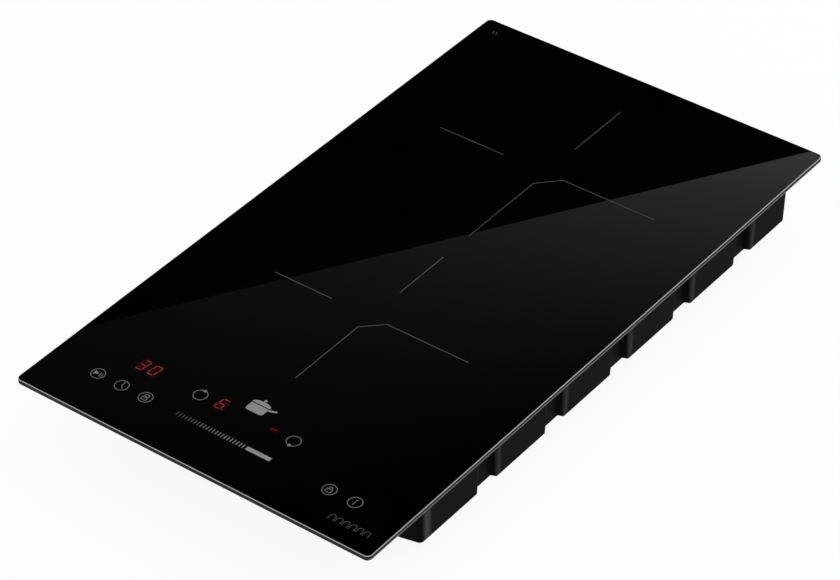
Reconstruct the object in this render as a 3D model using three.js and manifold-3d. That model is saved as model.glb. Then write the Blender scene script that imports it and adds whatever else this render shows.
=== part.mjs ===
// Two-zone built-in induction cooktop: a black glass panel over a moulded case that hangs in the
// worktop cut-out, with the coils, power electronics, fan and touch controls inside.
// Millimetres, +Z up, +Y to the back, controls at the front (-Y), origin at the centre of the base.

import * as THREE from 'three';
import { mergeVertices } from 'three/addons/utils/BufferGeometryUtils.js';
import Module from 'manifold-3d';

const wasm = await Module();
wasm.setup();

// ---------------------------------------------------------------- driving dimensions

// Glass panel
const glassWidth = 290;
const glassLength = 520;
const glassThickness = 4;
const glassCornerRadius = 4.5;
const glassEdgeRadius = 1.3;

// What lies under the edge of the glass
const caseDepth = 52;
const adhesiveThickness = 0.75;
const adhesiveMargin = 1.25;
const frameSheet = 1;
const frameSideBand = 12.5;
const frameEndBand = 6.25;
const frameSetback = 0.5;
const openingCornerRadius = 1;
const sealInset = 3;
const sealWidth = 8;
const sealThickness = 2;
const sealClearance = 1.5;

// Bottom case
const wallThickness = 2.5;
const floorThickness = 2.5;
const wallDraftDegrees = 3;
const cornerFootRadius = 2.5;
const cornerRimRadius = 7;
const sideFlangeWidth = 2;
const endFlangeWidth = 4;
const flangeThickness = 2;
const dishRise = 4;
const dishMargin = 17.5;
const recessCount = 5;
const recessWidth = 20;
const recessCornerFootRadius = 1.6;
const recessCornerRimRadius = 3.4;
const recessStepLength = 0.3;
const recessFootRadius = 1;
const frontBulgeLength = 60.8;
const backBulgeLength = 44.9;
const controlBayLength = 58.5;
const controlBayDepth = 20;
const bracketHoleHeight = 22.5;
const bracketHoleRadius = 1;
const bracketBossSize = 12;
const bracketBossDepth = 7.5;

// Case screws, coil plate screws and the posts that take them
const screwShankRadius = 1.6;
const screwHeadRadius = 3.4;
const screwHeadHeight = 2;
const screwPointLength = 1.5;
const screwClearance = 0.3;
const screwPadMargin = 1;
const screwPadRise = 0.3;
const caseScrewLength = 9;
const caseScrewBelowRim = 6.5;
const tabWidth = 14;
const tabDrop = 11;
const tabWallGap = 0.5;
const plateScrewLength = 10;
const postRadius = 4.5;
const postInset = 12;

// Coil plate and coils
const plateSheet = 1;
const plateWallGap = 6;
const plateCornerRadius = 6;
const frontFormerRadius = 80;
const backFormerRadius = 90;
const coilBackShare = 0.254;
const coilFrontShare = 0.385;
const formerThickness = 2;
const formerRimWidth = 2;
const windingHeight = 4;
const windingInnerRadius = 22;
const windingClearance = 0.5;
const windingEdge = 1;
const ferriteLength = 42;
const ferriteWidth = 14;
const ferriteThickness = 5;
const ferriteCount = 4;
const ferriteHubGap = 6;
const micaThickness = 0.75;
const coilGlassGap = 0.25;
const sensorRadius = 6;
const sensorFlangeRadius = 9;
const sensorFlangeHeight = 3;
const sensorClearance = 0.5;

// Circuit boards on the floor and the room above them
const boardThickness = 1.5;
const boardStandoff = 4;
const boardWallGap = 9;
const boardGap = 16;
const boardFrontGap = 44;
const boardHoleInset = 6;
const bossRadius = 3.5;
const pinRadius = 1.5;
const pinClearance = 0.3;
const pinStandout = 1;
const plateHeadroom = 3;
const filterBoardWidth = 62;
const filterBoardLength = 110;

// Heatsink and the power parts
const heatsinkWidth = 60;
const heatsinkLength = 150;
const heatsinkBase = 5;
const heatsinkFins = 9;
const finThickness = 1.6;
const deviceWidth = 16;
const deviceLength = 21;
const deviceThickness = 5;
const legWidth = 1.2;
const legThickness = 0.8;
const legReach = 6;
const partGap = 6;
const capacitorWidth = 17;
const capacitorLength = 36;
const capacitorHeight = 24;
const mouldedCornerRadius = 1;
const transformerSize = 26;
const transformerHeight = 21;
const corePinHeight = 3;
const coreSetback = 4;
const bobbinSetback = 8;
const bobbinDrop = 4;
const reservoirRadius = 6.5;
const reservoirHeight = 20;
const reservoirBead = 0.5;
const chokeRadius = 17;
const chokeHoleRadius = 7;
const chokeHeight = 14;
const chokeEdge = 1.5;
const filterCapacitorDrop = 6;
const fuseLength = 26;
const fuseRadius = 3;
const fuseClipLength = 5;
const fuseClipWall = 1;
const fuseEndCap = 1;

// Mains terminal and cable inlet
const terminalWidth = 44;
const terminalLength = 22;
const terminalHeight = 19;
const terminalBackGap = 28;
const terminalSideGap = 4;
const terminalPoles = 4;
const poleScrewRadius = 3;
const poleScrewDepth = 6;
const wireMouthSize = 5;
const wireMouthSill = 6;
const wireMouthDepth = 7;
const inletHeight = 18;
const inletBoreRadius = 5;
const inletWall = 2.5;
const inletFlange = 3;
const inletFlangeBand = 3.5;
const inletEdge = 1;
const inletSeatBand = 5;
const inletTail = 3;
const inletClearance = 0.3;

// Cooling fan
const fanWidth = 97;
const fanLength = 94;
const fanBackGap = 26;
const fanBoardGap = 14;
const fanSideGap = 1;
const fanWall = 1.5;
const fanInletRadius = 31;
const fanBladeClearance = 3;
const fanBladeDepth = 9;
const fanBladeThickness = 1;
const fanBladeCount = 20;
const fanBladeLean = 30;
const fanBladeInset = 0.5;
const fanBladeFloorGap = 2;
const shroudWidth = 3;
const shroudThickness = 1.5;
const rotorTopGap = 1.5;
const rotorPlate = 1.5;
const fanHubRadius = 19;
const fanHubWall = 2.5;
const fanHubFloorGap = 3;
const fanShaftRadius = 1.5;
const fanShaftClearance = 0.1;
const fanShaftFloorGap = 1;
const fanMotorRadius = 13;
const fanMotorHeight = 13;
const fanMountBand = 2;
const fanSpokeWidth = 6;

// Air slots
const slotWidth = 3;
const slotPitch = 7;
const intakeMargin = 3;
const exhaustPitch = 16;
const exhaustHeight = 14;
const exhaustSill = 7;
const floorExhaustInset = 17.5;
const floorExhaustLength = 22;

// Controls
const holderWall = 2;
const holderFrontGap = 2.2;
const holderBackGap = 5;
const holderSideGap = 6.5;
const holderLedge = 2;
const ledgeHeight = 5;
const touchBoardThickness = 1;
const touchGlassGap = 0.25;
const boardFit = 0.5;
const displayClearance = 0.4;
const displayHeight = 12.8;
const displaySetback = 9.4;
const timerDisplayWidth = 20;
const zoneDisplayWidth = 10;
const timerDisplayInset = 33.6;
const leftDisplayX = -21.4;
const rightDisplayX = 22.4;
const buzzerRadius = 6;
const buzzerHeight = 7;
const buzzerInset = 45;
const buzzerPortRadius = 1.5;
const buzzerPortDepth = 1.5;
const ribbonWidth = 14;
const ribbonThickness = 1;
const ribbonX = 15;
const ribbonGap = 0.3;
const ribbonSlotMargin = 1;
const ribbonPlugMargin = 1;
const socketHeight = 5;
const socketLength = 8;
const socketEdgeGap = 2;

// Facets in each rounded corner
const wallCornerSteps = 4;
const glassCornerSteps = 8;
const glassEdgeSteps = 4;

// How far a cutting tool reaches past the material that it cuts, and a joined piece into it
const past = 1;
const overlap = 0.5;

// ---------------------------------------------------------------- levels and walls that follow

const glassUnderside = caseDepth;
const frameTop = glassUnderside - adhesiveThickness;
const caseTop = frameTop - frameSheet;
const micaTop = glassUnderside - coilGlassGap;
const windingTop = micaTop - micaThickness;
const plateTop = windingTop - windingHeight - formerThickness - ferriteThickness;
const plateBottom = plateTop - plateSheet;
const floorTop = floorThickness;
const boardTop = floorTop + boardStandoff + boardThickness;
const tallPartTop = plateBottom - plateHeadroom;
const bayFloor = caseDepth - controlBayDepth;

const draftSlope = Math.tan(THREE.MathUtils.degToRad(wallDraftDegrees));
const wallTaper = (caseTop - dishRise) * draftSlope;
const flangeSetback = sealInset + sealWidth + sealClearance;
const flangeHalfWidth = glassWidth / 2 - flangeSetback;
const flangeHalfLength = glassLength / 2 - flangeSetback;
const wallX = flangeHalfWidth - sideFlangeWidth - wallTaper;
const wallBackY = flangeHalfLength - endFlangeWidth - wallTaper;
const bayFrontY = -wallBackY;
const wallFrontY = bayFrontY - wallTaper + controlBayLength;
const recessDepth = recessCornerRimRadius + recessStepLength + recessFootRadius;
const innerX = wallX - recessDepth - wallThickness;
const innerBackY = wallBackY - wallThickness;
const innerFrontY = wallFrontY + wallThickness;
const flatX = wallX - dishMargin;

// The walls lean outwards: this is how far they have moved at a height above the base.
function wallGrowth(height) {
  return (height - dishRise) * draftSlope;
}

// An upright corner of the case is a cone, sharper at the base than at the rim.
function corneredAt(height, footRadius, rimRadius) {
  return THREE.MathUtils.lerp(footRadius, rimRadius, height / caseTop);
}

// ---------------------------------------------------------------- shape helpers

function box(x0, x1, y0, y1, z0, z1) {
  const geometry = new THREE.BoxGeometry(x1 - x0, y1 - y0, z1 - z0);
  return geometry.translate((x0 + x1) / 2, (y0 + y1) / 2, (z0 + z1) / 2);
}

function upright(radius, x, y, z0, z1, sides = 12) {
  const geometry = new THREE.CylinderGeometry(radius, radius, z1 - z0, sides);
  return geometry.rotateX(Math.PI / 2).translate(x, y, (z0 + z1) / 2);
}

// A turned solid about Z from [radius, height] pairs, going round anticlockwise.
function turned(profile, sides) {
  const points = profile.map(([radius, height]) => new THREE.Vector2(radius, height));
  return new THREE.LatheGeometry(points, sides).rotateX(Math.PI / 2);
}

// An outline with its right-angled corners rounded, each corner given as [x, y, radius].
function rounded(corners, steps) {
  const outline = [];
  corners.forEach(([x, y, radius], index) => {
    const [beforeX, beforeY] = corners.at(index - 1);
    const [afterX, afterY] = corners[(index + 1) % corners.length];
    const corner = new THREE.Vector2(x, y);
    const back = new THREE.Vector2(beforeX - x, beforeY - y).setLength(radius);
    const ahead = new THREE.Vector2(afterX - x, afterY - y).setLength(radius);
    for (let step = 0; step <= steps; step += 1) {
      const angle = (step / steps) * Math.PI / 2;
      const point = corner.clone().add(back).add(ahead);
      point.addScaledVector(ahead, -Math.cos(angle));
      point.addScaledVector(back, -Math.sin(angle));
      outline.push(point);
    }
  });
  return outline;
}

function roundedRectangle(x0, x1, y0, y1, radius, steps) {
  return rounded([[x1, y0, radius], [x1, y1, radius], [x0, y1, radius], [x0, y0, radius]], steps);
}

// A solid through closed outlines of equal point count, stacked from the lowest up.
function stacked(levels) {
  const count = levels[0].outline.length;
  const positions = [];
  const faces = [];
  levels.forEach(({ outline, z }) => outline.forEach((point) => positions.push(point.x, point.y, z)));
  for (let level = 0; level + 1 < levels.length; level += 1) {
    for (let index = 0; index < count; index += 1) {
      const here = level * count + index;
      const next = level * count + (index + 1) % count;
      faces.push(here, next, next + count, here, next + count, here + count);
    }
  }
  const top = (levels.length - 1) * count;
  THREE.ShapeUtils.triangulateShape(levels[0].outline, []).forEach(([a, b, c]) => {
    faces.push(c, b, a);
  });
  THREE.ShapeUtils.triangulateShape(levels.at(-1).outline, []).forEach(([a, b, c]) => {
    faces.push(top + a, top + b, top + c);
  });
  const geometry = new THREE.BufferGeometry();
  geometry.setAttribute('position', new THREE.Float32BufferAttribute(positions, 3));
  geometry.setIndex(faces);
  return geometry;
}

function slab(outline, z0, z1) {
  return stacked([{ outline, z: z0 }, { outline, z: z1 }]);
}

function solid(geometry) {
  const bare = new THREE.BufferGeometry();
  bare.setAttribute('position', geometry.getAttribute('position'));
  bare.setIndex(geometry.getIndex());
  const merged = mergeVertices(bare);
  const corners = merged.getIndex().array;
  const triangles = [];
  for (let index = 0; index < corners.length; index += 3) {
    const [a, b, c] = corners.slice(index, index + 3);
    if (a !== b && b !== c && c !== a) triangles.push(a, b, c);
  }
  return new wasm.Manifold(new wasm.Mesh({
    numProp: 3,
    vertProperties: new Float32Array(merged.getAttribute('position').array),
    triVerts: new Uint32Array(triangles),
  }));
}

function join(...geometries) {
  return geometries.map(solid).reduce((whole, piece) => whole.add(piece));
}

function shape(body) {
  const mesh = body.getMesh();
  const geometry = new THREE.BufferGeometry();
  geometry.setAttribute('position', new THREE.BufferAttribute(mesh.vertProperties, 3));
  geometry.setIndex(new THREE.BufferAttribute(mesh.triVerts, 1));
  return geometry;
}

function cut(geometry, ...tools) {
  return shape(solid(geometry).subtract(join(...tools)));
}

// ---------------------------------------------------------------- scene helpers

const cooktop = new THREE.Group();

function material(color, roughness, metalness = 0) {
  return new THREE.MeshStandardMaterial({ color, roughness, metalness, flatShading: true });
}

function add(name, geometry, look, parent = cooktop) {
  const mesh = new THREE.Mesh(geometry, look);
  mesh.name = name;
  parent.add(mesh);
  return mesh;
}

const sides = [{ side: 'left', sign: -1 }, { side: 'right', sign: 1 }];

// ---------------------------------------------------------------- glass panel, bond and seal

function glassOutline(inset) {
  const x = glassWidth / 2 - inset;
  const y = glassLength / 2 - inset;
  return roundedRectangle(-x, x, -y, y, glassCornerRadius - inset, glassCornerSteps);
}

// The ground edge is rounded over at the top and at the underside.
function glassPanel() {
  const glassTop = glassUnderside + glassThickness;
  const levels = [];
  for (let step = 0; step <= glassEdgeSteps; step += 1) {
    const angle = (step / glassEdgeSteps) * Math.PI / 2;
    const outline = glassOutline(glassEdgeRadius * (1 - Math.sin(angle)));
    const rise = glassEdgeRadius * (1 - Math.cos(angle));
    levels.push({ outline, z: glassUnderside + rise });
    levels.unshift({ outline, z: glassTop - rise });
  }
  levels.sort((low, high) => low.z - high.z);
  return stacked(levels);
}

// A flat ring round the panel, with bands of one width along the sides and one across the ends.
function ring(outerX, outerY, sideBand, endBand, radius, z0, z1) {
  const outer = roundedRectangle(-outerX, outerX, -outerY, outerY, radius, 3);
  const openX = outerX - sideBand;
  const openY = outerY - endBand;
  const opening = roundedRectangle(-openX, openX, -openY, openY, openingCornerRadius, 3);
  return cut(slab(outer, z0, z1), slab(opening, z0 - past, z1 + past));
}

add('glass_panel', glassPanel(), material(0x050505, 0.08));

add('worktop_seal', ring(
  glassWidth / 2 - sealInset, glassLength / 2 - sealInset, sealWidth, sealWidth,
  glassCornerRadius, glassUnderside - sealThickness, glassUnderside,
), material(0x2a2a2a, 0.95));

const frameX = flangeHalfWidth - frameSetback;
const frameY = flangeHalfLength - frameSetback;
add('glass_adhesive', ring(
  frameX - adhesiveMargin, frameY - adhesiveMargin, frameSideBand - 2 * adhesiveMargin,
  frameEndBand - 2 * adhesiveMargin, glassCornerRadius, frameTop, glassUnderside,
), material(0x1c1c1c, 0.6));

// ---------------------------------------------------------------- bottom case

const recessPitch = (wallBackY - wallFrontY - frontBulgeLength - backBulgeLength - recessWidth)
  / (recessCount - 1);

function recessY(index) {
  return wallFrontY + frontBulgeLength + recessWidth / 2 + index * recessPitch;
}

// The deep part in plan, with the recesses that break up both long walls.
function deepOutline(growth, height) {
  const x = wallX + growth;
  const back = wallBackY + growth;
  const front = wallFrontY - growth;
  const half = recessWidth / 2 - growth;
  const corner = corneredAt(height, cornerFootRadius, cornerRimRadius);
  const bulge = corneredAt(height, recessCornerFootRadius, recessCornerRimRadius);
  const rightSide = [];
  for (let index = 0; index < recessCount; index += 1) {
    const start = recessY(index) - half;
    const end = recessY(index) + half;
    rightSide.push([x, start, bulge], [x - recessDepth, start, recessFootRadius]);
    rightSide.push([x - recessDepth, end, recessFootRadius], [x, end, bulge]);
  }
  const leftSide = rightSide.map(([sideX, y, radius]) => [-sideX, y, radius]).reverse();
  return rounded([
    [x, front, corner], ...rightSide, [x, back, corner],
    [-x, back, corner], ...leftSide, [-x, front, corner],
  ], wallCornerSteps);
}

// The shallow part under the touch controls, open into the deep part behind it.
function bayOutline(growth, height, backY) {
  const x = wallX + growth;
  const corner = corneredAt(height, cornerFootRadius, cornerRimRadius);
  return roundedRectangle(-x, x, bayFrontY - growth, backY, corner, wallCornerSteps);
}

// Everything above the dished underside: the floor slopes up to the foot of the long walls.
function aboveDish(lift) {
  const reach = wallX + dishMargin;
  const rise = 2 * dishRise;
  const across = new THREE.Shape([
    new THREE.Vector2(-flatX, lift),
    new THREE.Vector2(flatX, lift),
    new THREE.Vector2(reach, lift + rise),
    new THREE.Vector2(reach, caseDepth * 2),
    new THREE.Vector2(-reach, caseDepth * 2),
    new THREE.Vector2(-reach, lift + rise),
  ]);
  const length = 2 * glassLength;
  const lengthwise = new THREE.ExtrudeGeometry(across, { depth: length, bevelEnabled: false });
  return solid(lengthwise.rotateX(Math.PI / 2).translate(0, length / 2, 0));
}

function leaning(outlineAt, z0, z1) {
  return stacked([
    { outline: outlineAt(wallGrowth(z0), z0), z: z0 },
    { outline: outlineAt(wallGrowth(z1), z1), z: z1 },
  ]);
}

const postX = innerX - postInset;
const postFrontY = innerFrontY + postInset;
const postBackY = innerBackY - postInset;
const postPlaces = [];
sides.forEach(({ side, sign }) => {
  postPlaces.push({ name: `front_${side}`, x: sign * postX, y: postFrontY });
  postPlaces.push({ name: `back_${side}`, x: sign * postX, y: postBackY });
});

// Where the case screws go through the first and last recess on each side.
const caseScrewZ = caseTop - caseScrewBelowRim;
const screwSeatX = wallX + wallGrowth(caseTop) - recessDepth + screwPadRise;
const tabOuterX = innerX - tabWallGap;
const tabInnerX = tabOuterX - frameSheet;
const caseScrewPlaces = [];
sides.forEach(({ side, sign }) => {
  caseScrewPlaces.push({ name: `front_${side}`, sign, y: recessY(0) });
  caseScrewPlaces.push({ name: `back_${side}`, sign, y: recessY(recessCount - 1) });
});

// Circuit board and fan places on the floor.
const fanX = -(flatX - fanSideGap) + fanWidth / 2;
const fanBackY = innerBackY - fanBackGap;
const fanFrontY = fanBackY - fanLength;
const fanY = fanBackY - fanWidth / 2;
const terminalRightX = flatX - terminalSideGap;
const terminalX = terminalRightX - terminalWidth / 2;
const terminalBackY = innerBackY - terminalBackGap;
const filterRightX = innerX - boardWallGap;
const filterBoard = {
  left: filterRightX - filterBoardWidth,
  right: filterRightX,
  front: terminalBackY - terminalLength - partGap * 2 - filterBoardLength,
  back: terminalBackY - terminalLength - partGap * 2,
};
const powerBoard = {
  left: -filterRightX,
  right: filterBoard.left - boardGap,
  front: innerFrontY + boardFrontGap,
  back: fanFrontY - fanBoardGap,
};

function boardHoles(board) {
  const places = [];
  [board.left + boardHoleInset, board.right - boardHoleInset].forEach((x) => {
    [board.front + boardHoleInset, board.back - boardHoleInset].forEach((y) => {
      places.push({ x, y });
    });
  });
  return places;
}

const boardPins = [...boardHoles(powerBoard), ...boardHoles(filterBoard)];
const intakeRadius = fanInletRadius + intakeMargin;
const inletRadius = inletBoreRadius + inletWall;
const inletSeatY = wallBackY + wallGrowth(inletHeight + inletRadius + inletSeatBand);

// Slots moulded through the floor under the fan, each as long as the round inlet is there.
function intakeSlots() {
  const slots = [];
  const reach = Math.floor((intakeRadius - slotWidth) / slotPitch);
  for (let index = -reach; index <= reach; index += 1) {
    const offset = index * slotPitch;
    const half = Math.sqrt(intakeRadius ** 2 - offset ** 2);
    const left = fanX + offset - slotWidth / 2;
    slots.push(box(left, left + slotWidth, fanY - half, fanY + half, -past, floorTop + past));
  }
  return slots;
}

// Air leaves through the front wall of the deep part and through the floor behind that wall.
function exhaustSlots() {
  const slots = [];
  const reach = Math.floor((postX - postRadius - slotWidth) / exhaustPitch);
  const sill = floorTop + exhaustSill;
  const head = sill + exhaustHeight;
  const outsideY = wallFrontY - wallGrowth(head) - past;
  const floorFrontY = wallFrontY + floorExhaustInset;
  for (let index = -reach; index <= reach; index += 1) {
    const left = index * exhaustPitch - slotWidth / 2;
    const right = left + slotWidth;
    slots.push(box(left, right, outsideY, innerFrontY + past, sill, head));
    slots.push(box(
      left, right, floorFrontY, floorFrontY + floorExhaustLength, -past, floorTop + past,
    ));
  }
  return slots;
}

function bottomCase() {
  const flangeOutline = roundedRectangle(
    -flangeHalfWidth, flangeHalfWidth, -flangeHalfLength, flangeHalfLength,
    cornerRimRadius + sideFlangeWidth, wallCornerSteps,
  );
  const deepOutside = solid(leaning(deepOutline, 0, caseTop)).intersect(aboveDish(0));
  const shallow = (growth, height) => bayOutline(growth, height, innerFrontY);
  const bayOutside = leaning(shallow, bayFloor, caseTop);
  const flange = slab(flangeOutline, caseTop - flangeThickness, caseTop);
  const outside = deepOutside.add(join(bayOutside, flange));

  const hollow = (growth, height) => deepOutline(growth - wallThickness, height);
  const deepInside = solid(leaning(hollow, 0, caseTop + past)).intersect(aboveDish(floorThickness));
  const bayHollowBackY = innerFrontY + cornerRimRadius;
  const bayHollow = (growth, height) => bayOutline(growth - wallThickness, height, bayHollowBackY);
  const bayInside = leaning(bayHollow, bayFloor + floorThickness, caseTop + past);
  let body = outside.subtract(deepInside.add(solid(bayInside)));

  const bosses = [];
  postPlaces.forEach(({ x, y }) => bosses.push(upright(postRadius, x, y, 0, plateBottom)));
  boardPins.forEach(({ x, y }) => {
    bosses.push(upright(bossRadius, x, y, 0, floorTop + boardStandoff, 8));
    bosses.push(upright(pinRadius, x, y, overlap, boardTop + pinStandout, 8));
  });
  sides.forEach(({ sign }) => {
    const outerX = sign * wallX;
    const bossInnerX = sign * (wallX - bracketBossDepth);
    const bracketY = (recessY(1) + recessY(2)) / 2;
    const half = bracketBossSize / 2;
    bosses.push(box(
      Math.min(outerX, bossInnerX), Math.max(outerX, bossInnerX), bracketY - half, bracketY + half,
      bracketHoleHeight - half, bracketHoleHeight + half,
    ));
  });
  body = body.add(join(...bosses).intersect(deepOutside));

  const inletSeat = new THREE.CylinderGeometry(
    inletRadius + inletSeatBand, inletRadius + inletSeatBand, inletSeatY - innerBackY, 20,
  );
  const seats = [inletSeat.translate(terminalX, (inletSeatY + innerBackY) / 2, inletHeight)];
  caseScrewPlaces.forEach(({ sign, y }) => {
    const outerX = sign * screwSeatX;
    const padInnerX = sign * (tabOuterX + screwClearance);
    const half = screwHeadRadius + screwPadMargin;
    seats.push(box(
      Math.min(outerX, padInnerX), Math.max(outerX, padInnerX), y - half, y + half,
      caseScrewZ - half, caseScrewZ + half,
    ));
  });
  body = body.add(join(...seats));

  const holes = [...intakeSlots(), ...exhaustSlots()];
  const pilotRadius = screwShankRadius + screwClearance;
  postPlaces.forEach(({ x, y }) => {
    holes.push(upright(pilotRadius, x, y, plateBottom - plateScrewLength, plateBottom + past, 12));
  });
  caseScrewPlaces.forEach(({ sign, y }) => {
    const bore = new THREE.CylinderGeometry(pilotRadius, pilotRadius, 2 * caseScrewLength, 12);
    holes.push(bore.rotateZ(Math.PI / 2).translate(sign * screwSeatX, y, caseScrewZ));
  });
  sides.forEach(({ sign }) => {
    const bore = new THREE.CylinderGeometry(bracketHoleRadius, bracketHoleRadius, 2 * wallThickness, 12);
    const bracketY = (recessY(1) + recessY(2)) / 2;
    holes.push(bore.rotateZ(Math.PI / 2).translate(sign * wallX, bracketY, bracketHoleHeight));
  });
  const inletHole = new THREE.CylinderGeometry(
    inletRadius + inletClearance, inletRadius + inletClearance, 6 * wallThickness, 20,
  );
  holes.push(inletHole.translate(terminalX, wallBackY, inletHeight));
  return shape(body.subtract(join(...holes)));
}

add('bottom_case', bottomCase(), material(0x1f1f20, 0.62));

// ---------------------------------------------------------------- top frame

// A sheet ring bonded to the glass, with four tabs bent down inside the case for its screws.
function topFrame() {
  const sheet = ring(
    frameX, frameY, frameSideBand, frameEndBand, glassCornerRadius, caseTop, frameTop,
  );
  const tabs = caseScrewPlaces.map(({ sign, y }) => box(
    Math.min(sign * tabOuterX, sign * tabInnerX), Math.max(sign * tabOuterX, sign * tabInnerX),
    y - tabWidth / 2, y + tabWidth / 2, caseTop - tabDrop, frameTop,
  ));
  const body = join(sheet, ...tabs);
  const holes = caseScrewPlaces.map(({ sign, y }) => {
    const radius = screwShankRadius + screwClearance;
    const bore = new THREE.CylinderGeometry(radius, radius, 6 * frameSheet, 12);
    return bore.rotateZ(Math.PI / 2).translate(sign * tabOuterX, y, caseScrewZ);
  });
  return shape(body.subtract(join(...holes)));
}

add('top_frame', topFrame(), material(0x9a9da0, 0.4, 1));

// ---------------------------------------------------------------- screws

// A low domed screw with its head's seat at the origin and its shank going down.
function screw(length) {
  return turned([
    [0, -length], [screwShankRadius * 0.6, -length], [screwShankRadius, screwPointLength - length],
    [screwShankRadius, 0], [screwHeadRadius, 0], [screwHeadRadius, screwHeadHeight * 0.5],
    [screwHeadRadius * 0.6, screwHeadHeight], [0, screwHeadHeight],
  ], 12);
}

const screwSteel = material(0xb4b6b8, 0.35, 1);
caseScrewPlaces.forEach(({ name, sign, y }) => {
  const mesh = add(`case_screw_${name}`, screw(caseScrewLength), screwSteel.clone());
  mesh.rotation.y = sign * Math.PI / 2;
  mesh.position.set(sign * screwSeatX, y, caseScrewZ);
});
postPlaces.forEach(({ name, x, y }) => {
  const mesh = add(`plate_screw_${name}`, screw(plateScrewLength), screwSteel.clone());
  mesh.position.set(x, y, plateTop);
});

// ---------------------------------------------------------------- coil plate

const plateX = innerX - plateWallGap;
const plateFrontY = innerFrontY + plateWallGap;
const plateBackY = innerBackY - plateWallGap;
const plateOutline = roundedRectangle(
  -plateX, plateX, plateFrontY, plateBackY, plateCornerRadius, 3,
);
const plateHoles = postPlaces.map(({ x, y }) => upright(
  screwShankRadius + screwClearance, x, y, plateBottom - past, plateTop + past, 12,
));
const coilPlate = cut(slab(plateOutline, plateBottom, plateTop), ...plateHoles);
add('coil_plate', coilPlate, material(0xc6c8ca, 0.35, 1));

// ---------------------------------------------------------------- induction coils

// Facets round each large disc.
const roundSides = 40;

// One coil, built up from the coil plate at local height 0.
function addCoil(zone, formerRadius, centreY) {
  const coil = new THREE.Group();
  coil.position.set(0, centreY, plateTop);
  cooktop.add(coil);
  const formerBottom = ferriteThickness;
  const formerTop = formerBottom + formerThickness;
  const coilTop = formerTop + windingHeight;
  const windingRadius = formerRadius - formerRimWidth - windingClearance;
  const holeRadius = sensorRadius + sensorClearance;
  const hubRadius = windingInnerRadius - windingClearance;
  const hubHoleRadius = sensorFlangeRadius + sensorClearance;

  const former = turned([
    [hubHoleRadius, formerBottom], [formerRadius, formerBottom], [formerRadius, coilTop],
    [formerRadius - formerRimWidth, coilTop], [formerRadius - formerRimWidth, formerTop],
    [hubRadius, formerTop], [hubRadius, coilTop], [hubHoleRadius, coilTop],
    [hubHoleRadius, formerBottom],
  ], roundSides);
  add(`${zone}_coil_former`, former, material(0x2b2a28, 0.7), coil);

  const winding = turned([
    [windingInnerRadius, formerTop], [windingRadius, formerTop],
    [windingRadius, coilTop - windingEdge], [windingRadius - windingEdge, coilTop],
    [windingInnerRadius, coilTop], [windingInnerRadius, formerTop],
  ], roundSides);
  add(`${zone}_coil_winding`, winding, material(0xa0522a, 0.4, 0.8), coil);

  const micaDisc = turned([
    [holeRadius, coilTop], [formerRadius, coilTop], [formerRadius, coilTop + micaThickness],
    [holeRadius, coilTop + micaThickness], [holeRadius, coilTop],
  ], roundSides);
  add(`${zone}_mica_disc`, micaDisc, material(0xcfc4a8, 0.5), coil);

  const sensor = turned([
    [0, 0], [sensorFlangeRadius, 0], [sensorFlangeRadius, sensorFlangeHeight],
    [sensorRadius, sensorFlangeHeight], [sensorRadius, coilTop + micaThickness],
    [0, coilTop + micaThickness],
  ], 16);
  add(`${zone}_heat_sensor`, sensor, material(0xe6e2da, 0.6), coil);

  const ferriteInner = sensorFlangeRadius + ferriteHubGap;
  for (let index = 0; index < ferriteCount; index += 1) {
    const bar = box(
      ferriteInner, ferriteInner + ferriteLength, -ferriteWidth / 2, ferriteWidth / 2,
      0, ferriteThickness,
    );
    bar.rotateZ((index + 0.5) / ferriteCount * 2 * Math.PI);
    add(`${zone}_ferrite_${index + 1}`, bar, material(0x3a3a3d, 0.8), coil);
  }
}

const freeLength = innerBackY - innerFrontY - 2 * (frontFormerRadius + backFormerRadius);
const backZoneY = innerBackY - coilBackShare * freeLength - backFormerRadius;
const frontZoneY = innerFrontY + coilFrontShare * freeLength + frontFormerRadius;
addCoil('front', frontFormerRadius, frontZoneY);
addCoil('back', backFormerRadius, backZoneY);

// ---------------------------------------------------------------- circuit boards

const boardGreen = material(0x2f6b3a, 0.55);

function circuitBoard(board, ...sockets) {
  const bottom = floorTop + boardStandoff;
  const plate = box(board.left, board.right, board.front, board.back, bottom, boardTop);
  const holes = boardHoles(board).map(({ x, y }) => upright(
    pinRadius + pinClearance, x, y, bottom - past, boardTop + past, 8,
  ));
  return shape(join(plate, ...sockets).subtract(join(...holes)));
}

const ribbonHalf = ribbonWidth / 2;
const socketFrontY = powerBoard.front + socketEdgeGap;
const ribbonSocket = box(
  ribbonX - ribbonHalf, ribbonX + ribbonHalf, socketFrontY, socketFrontY + socketLength,
  boardTop - overlap, boardTop + socketHeight,
);
add('power_board', circuitBoard(powerBoard, ribbonSocket), boardGreen);
add('filter_board', circuitBoard(filterBoard), boardGreen.clone());

// ---------------------------------------------------------------- heatsink and power devices

const heatsinkLeft = powerBoard.left + 2 * boardHoleInset;
const heatsinkRight = heatsinkLeft + heatsinkWidth;
const heatsinkBack = powerBoard.back - boardHoleInset / 2;
const heatsinkFront = heatsinkBack - heatsinkLength;
const heatsinkBaseZ = boardTop + deviceThickness;

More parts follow.
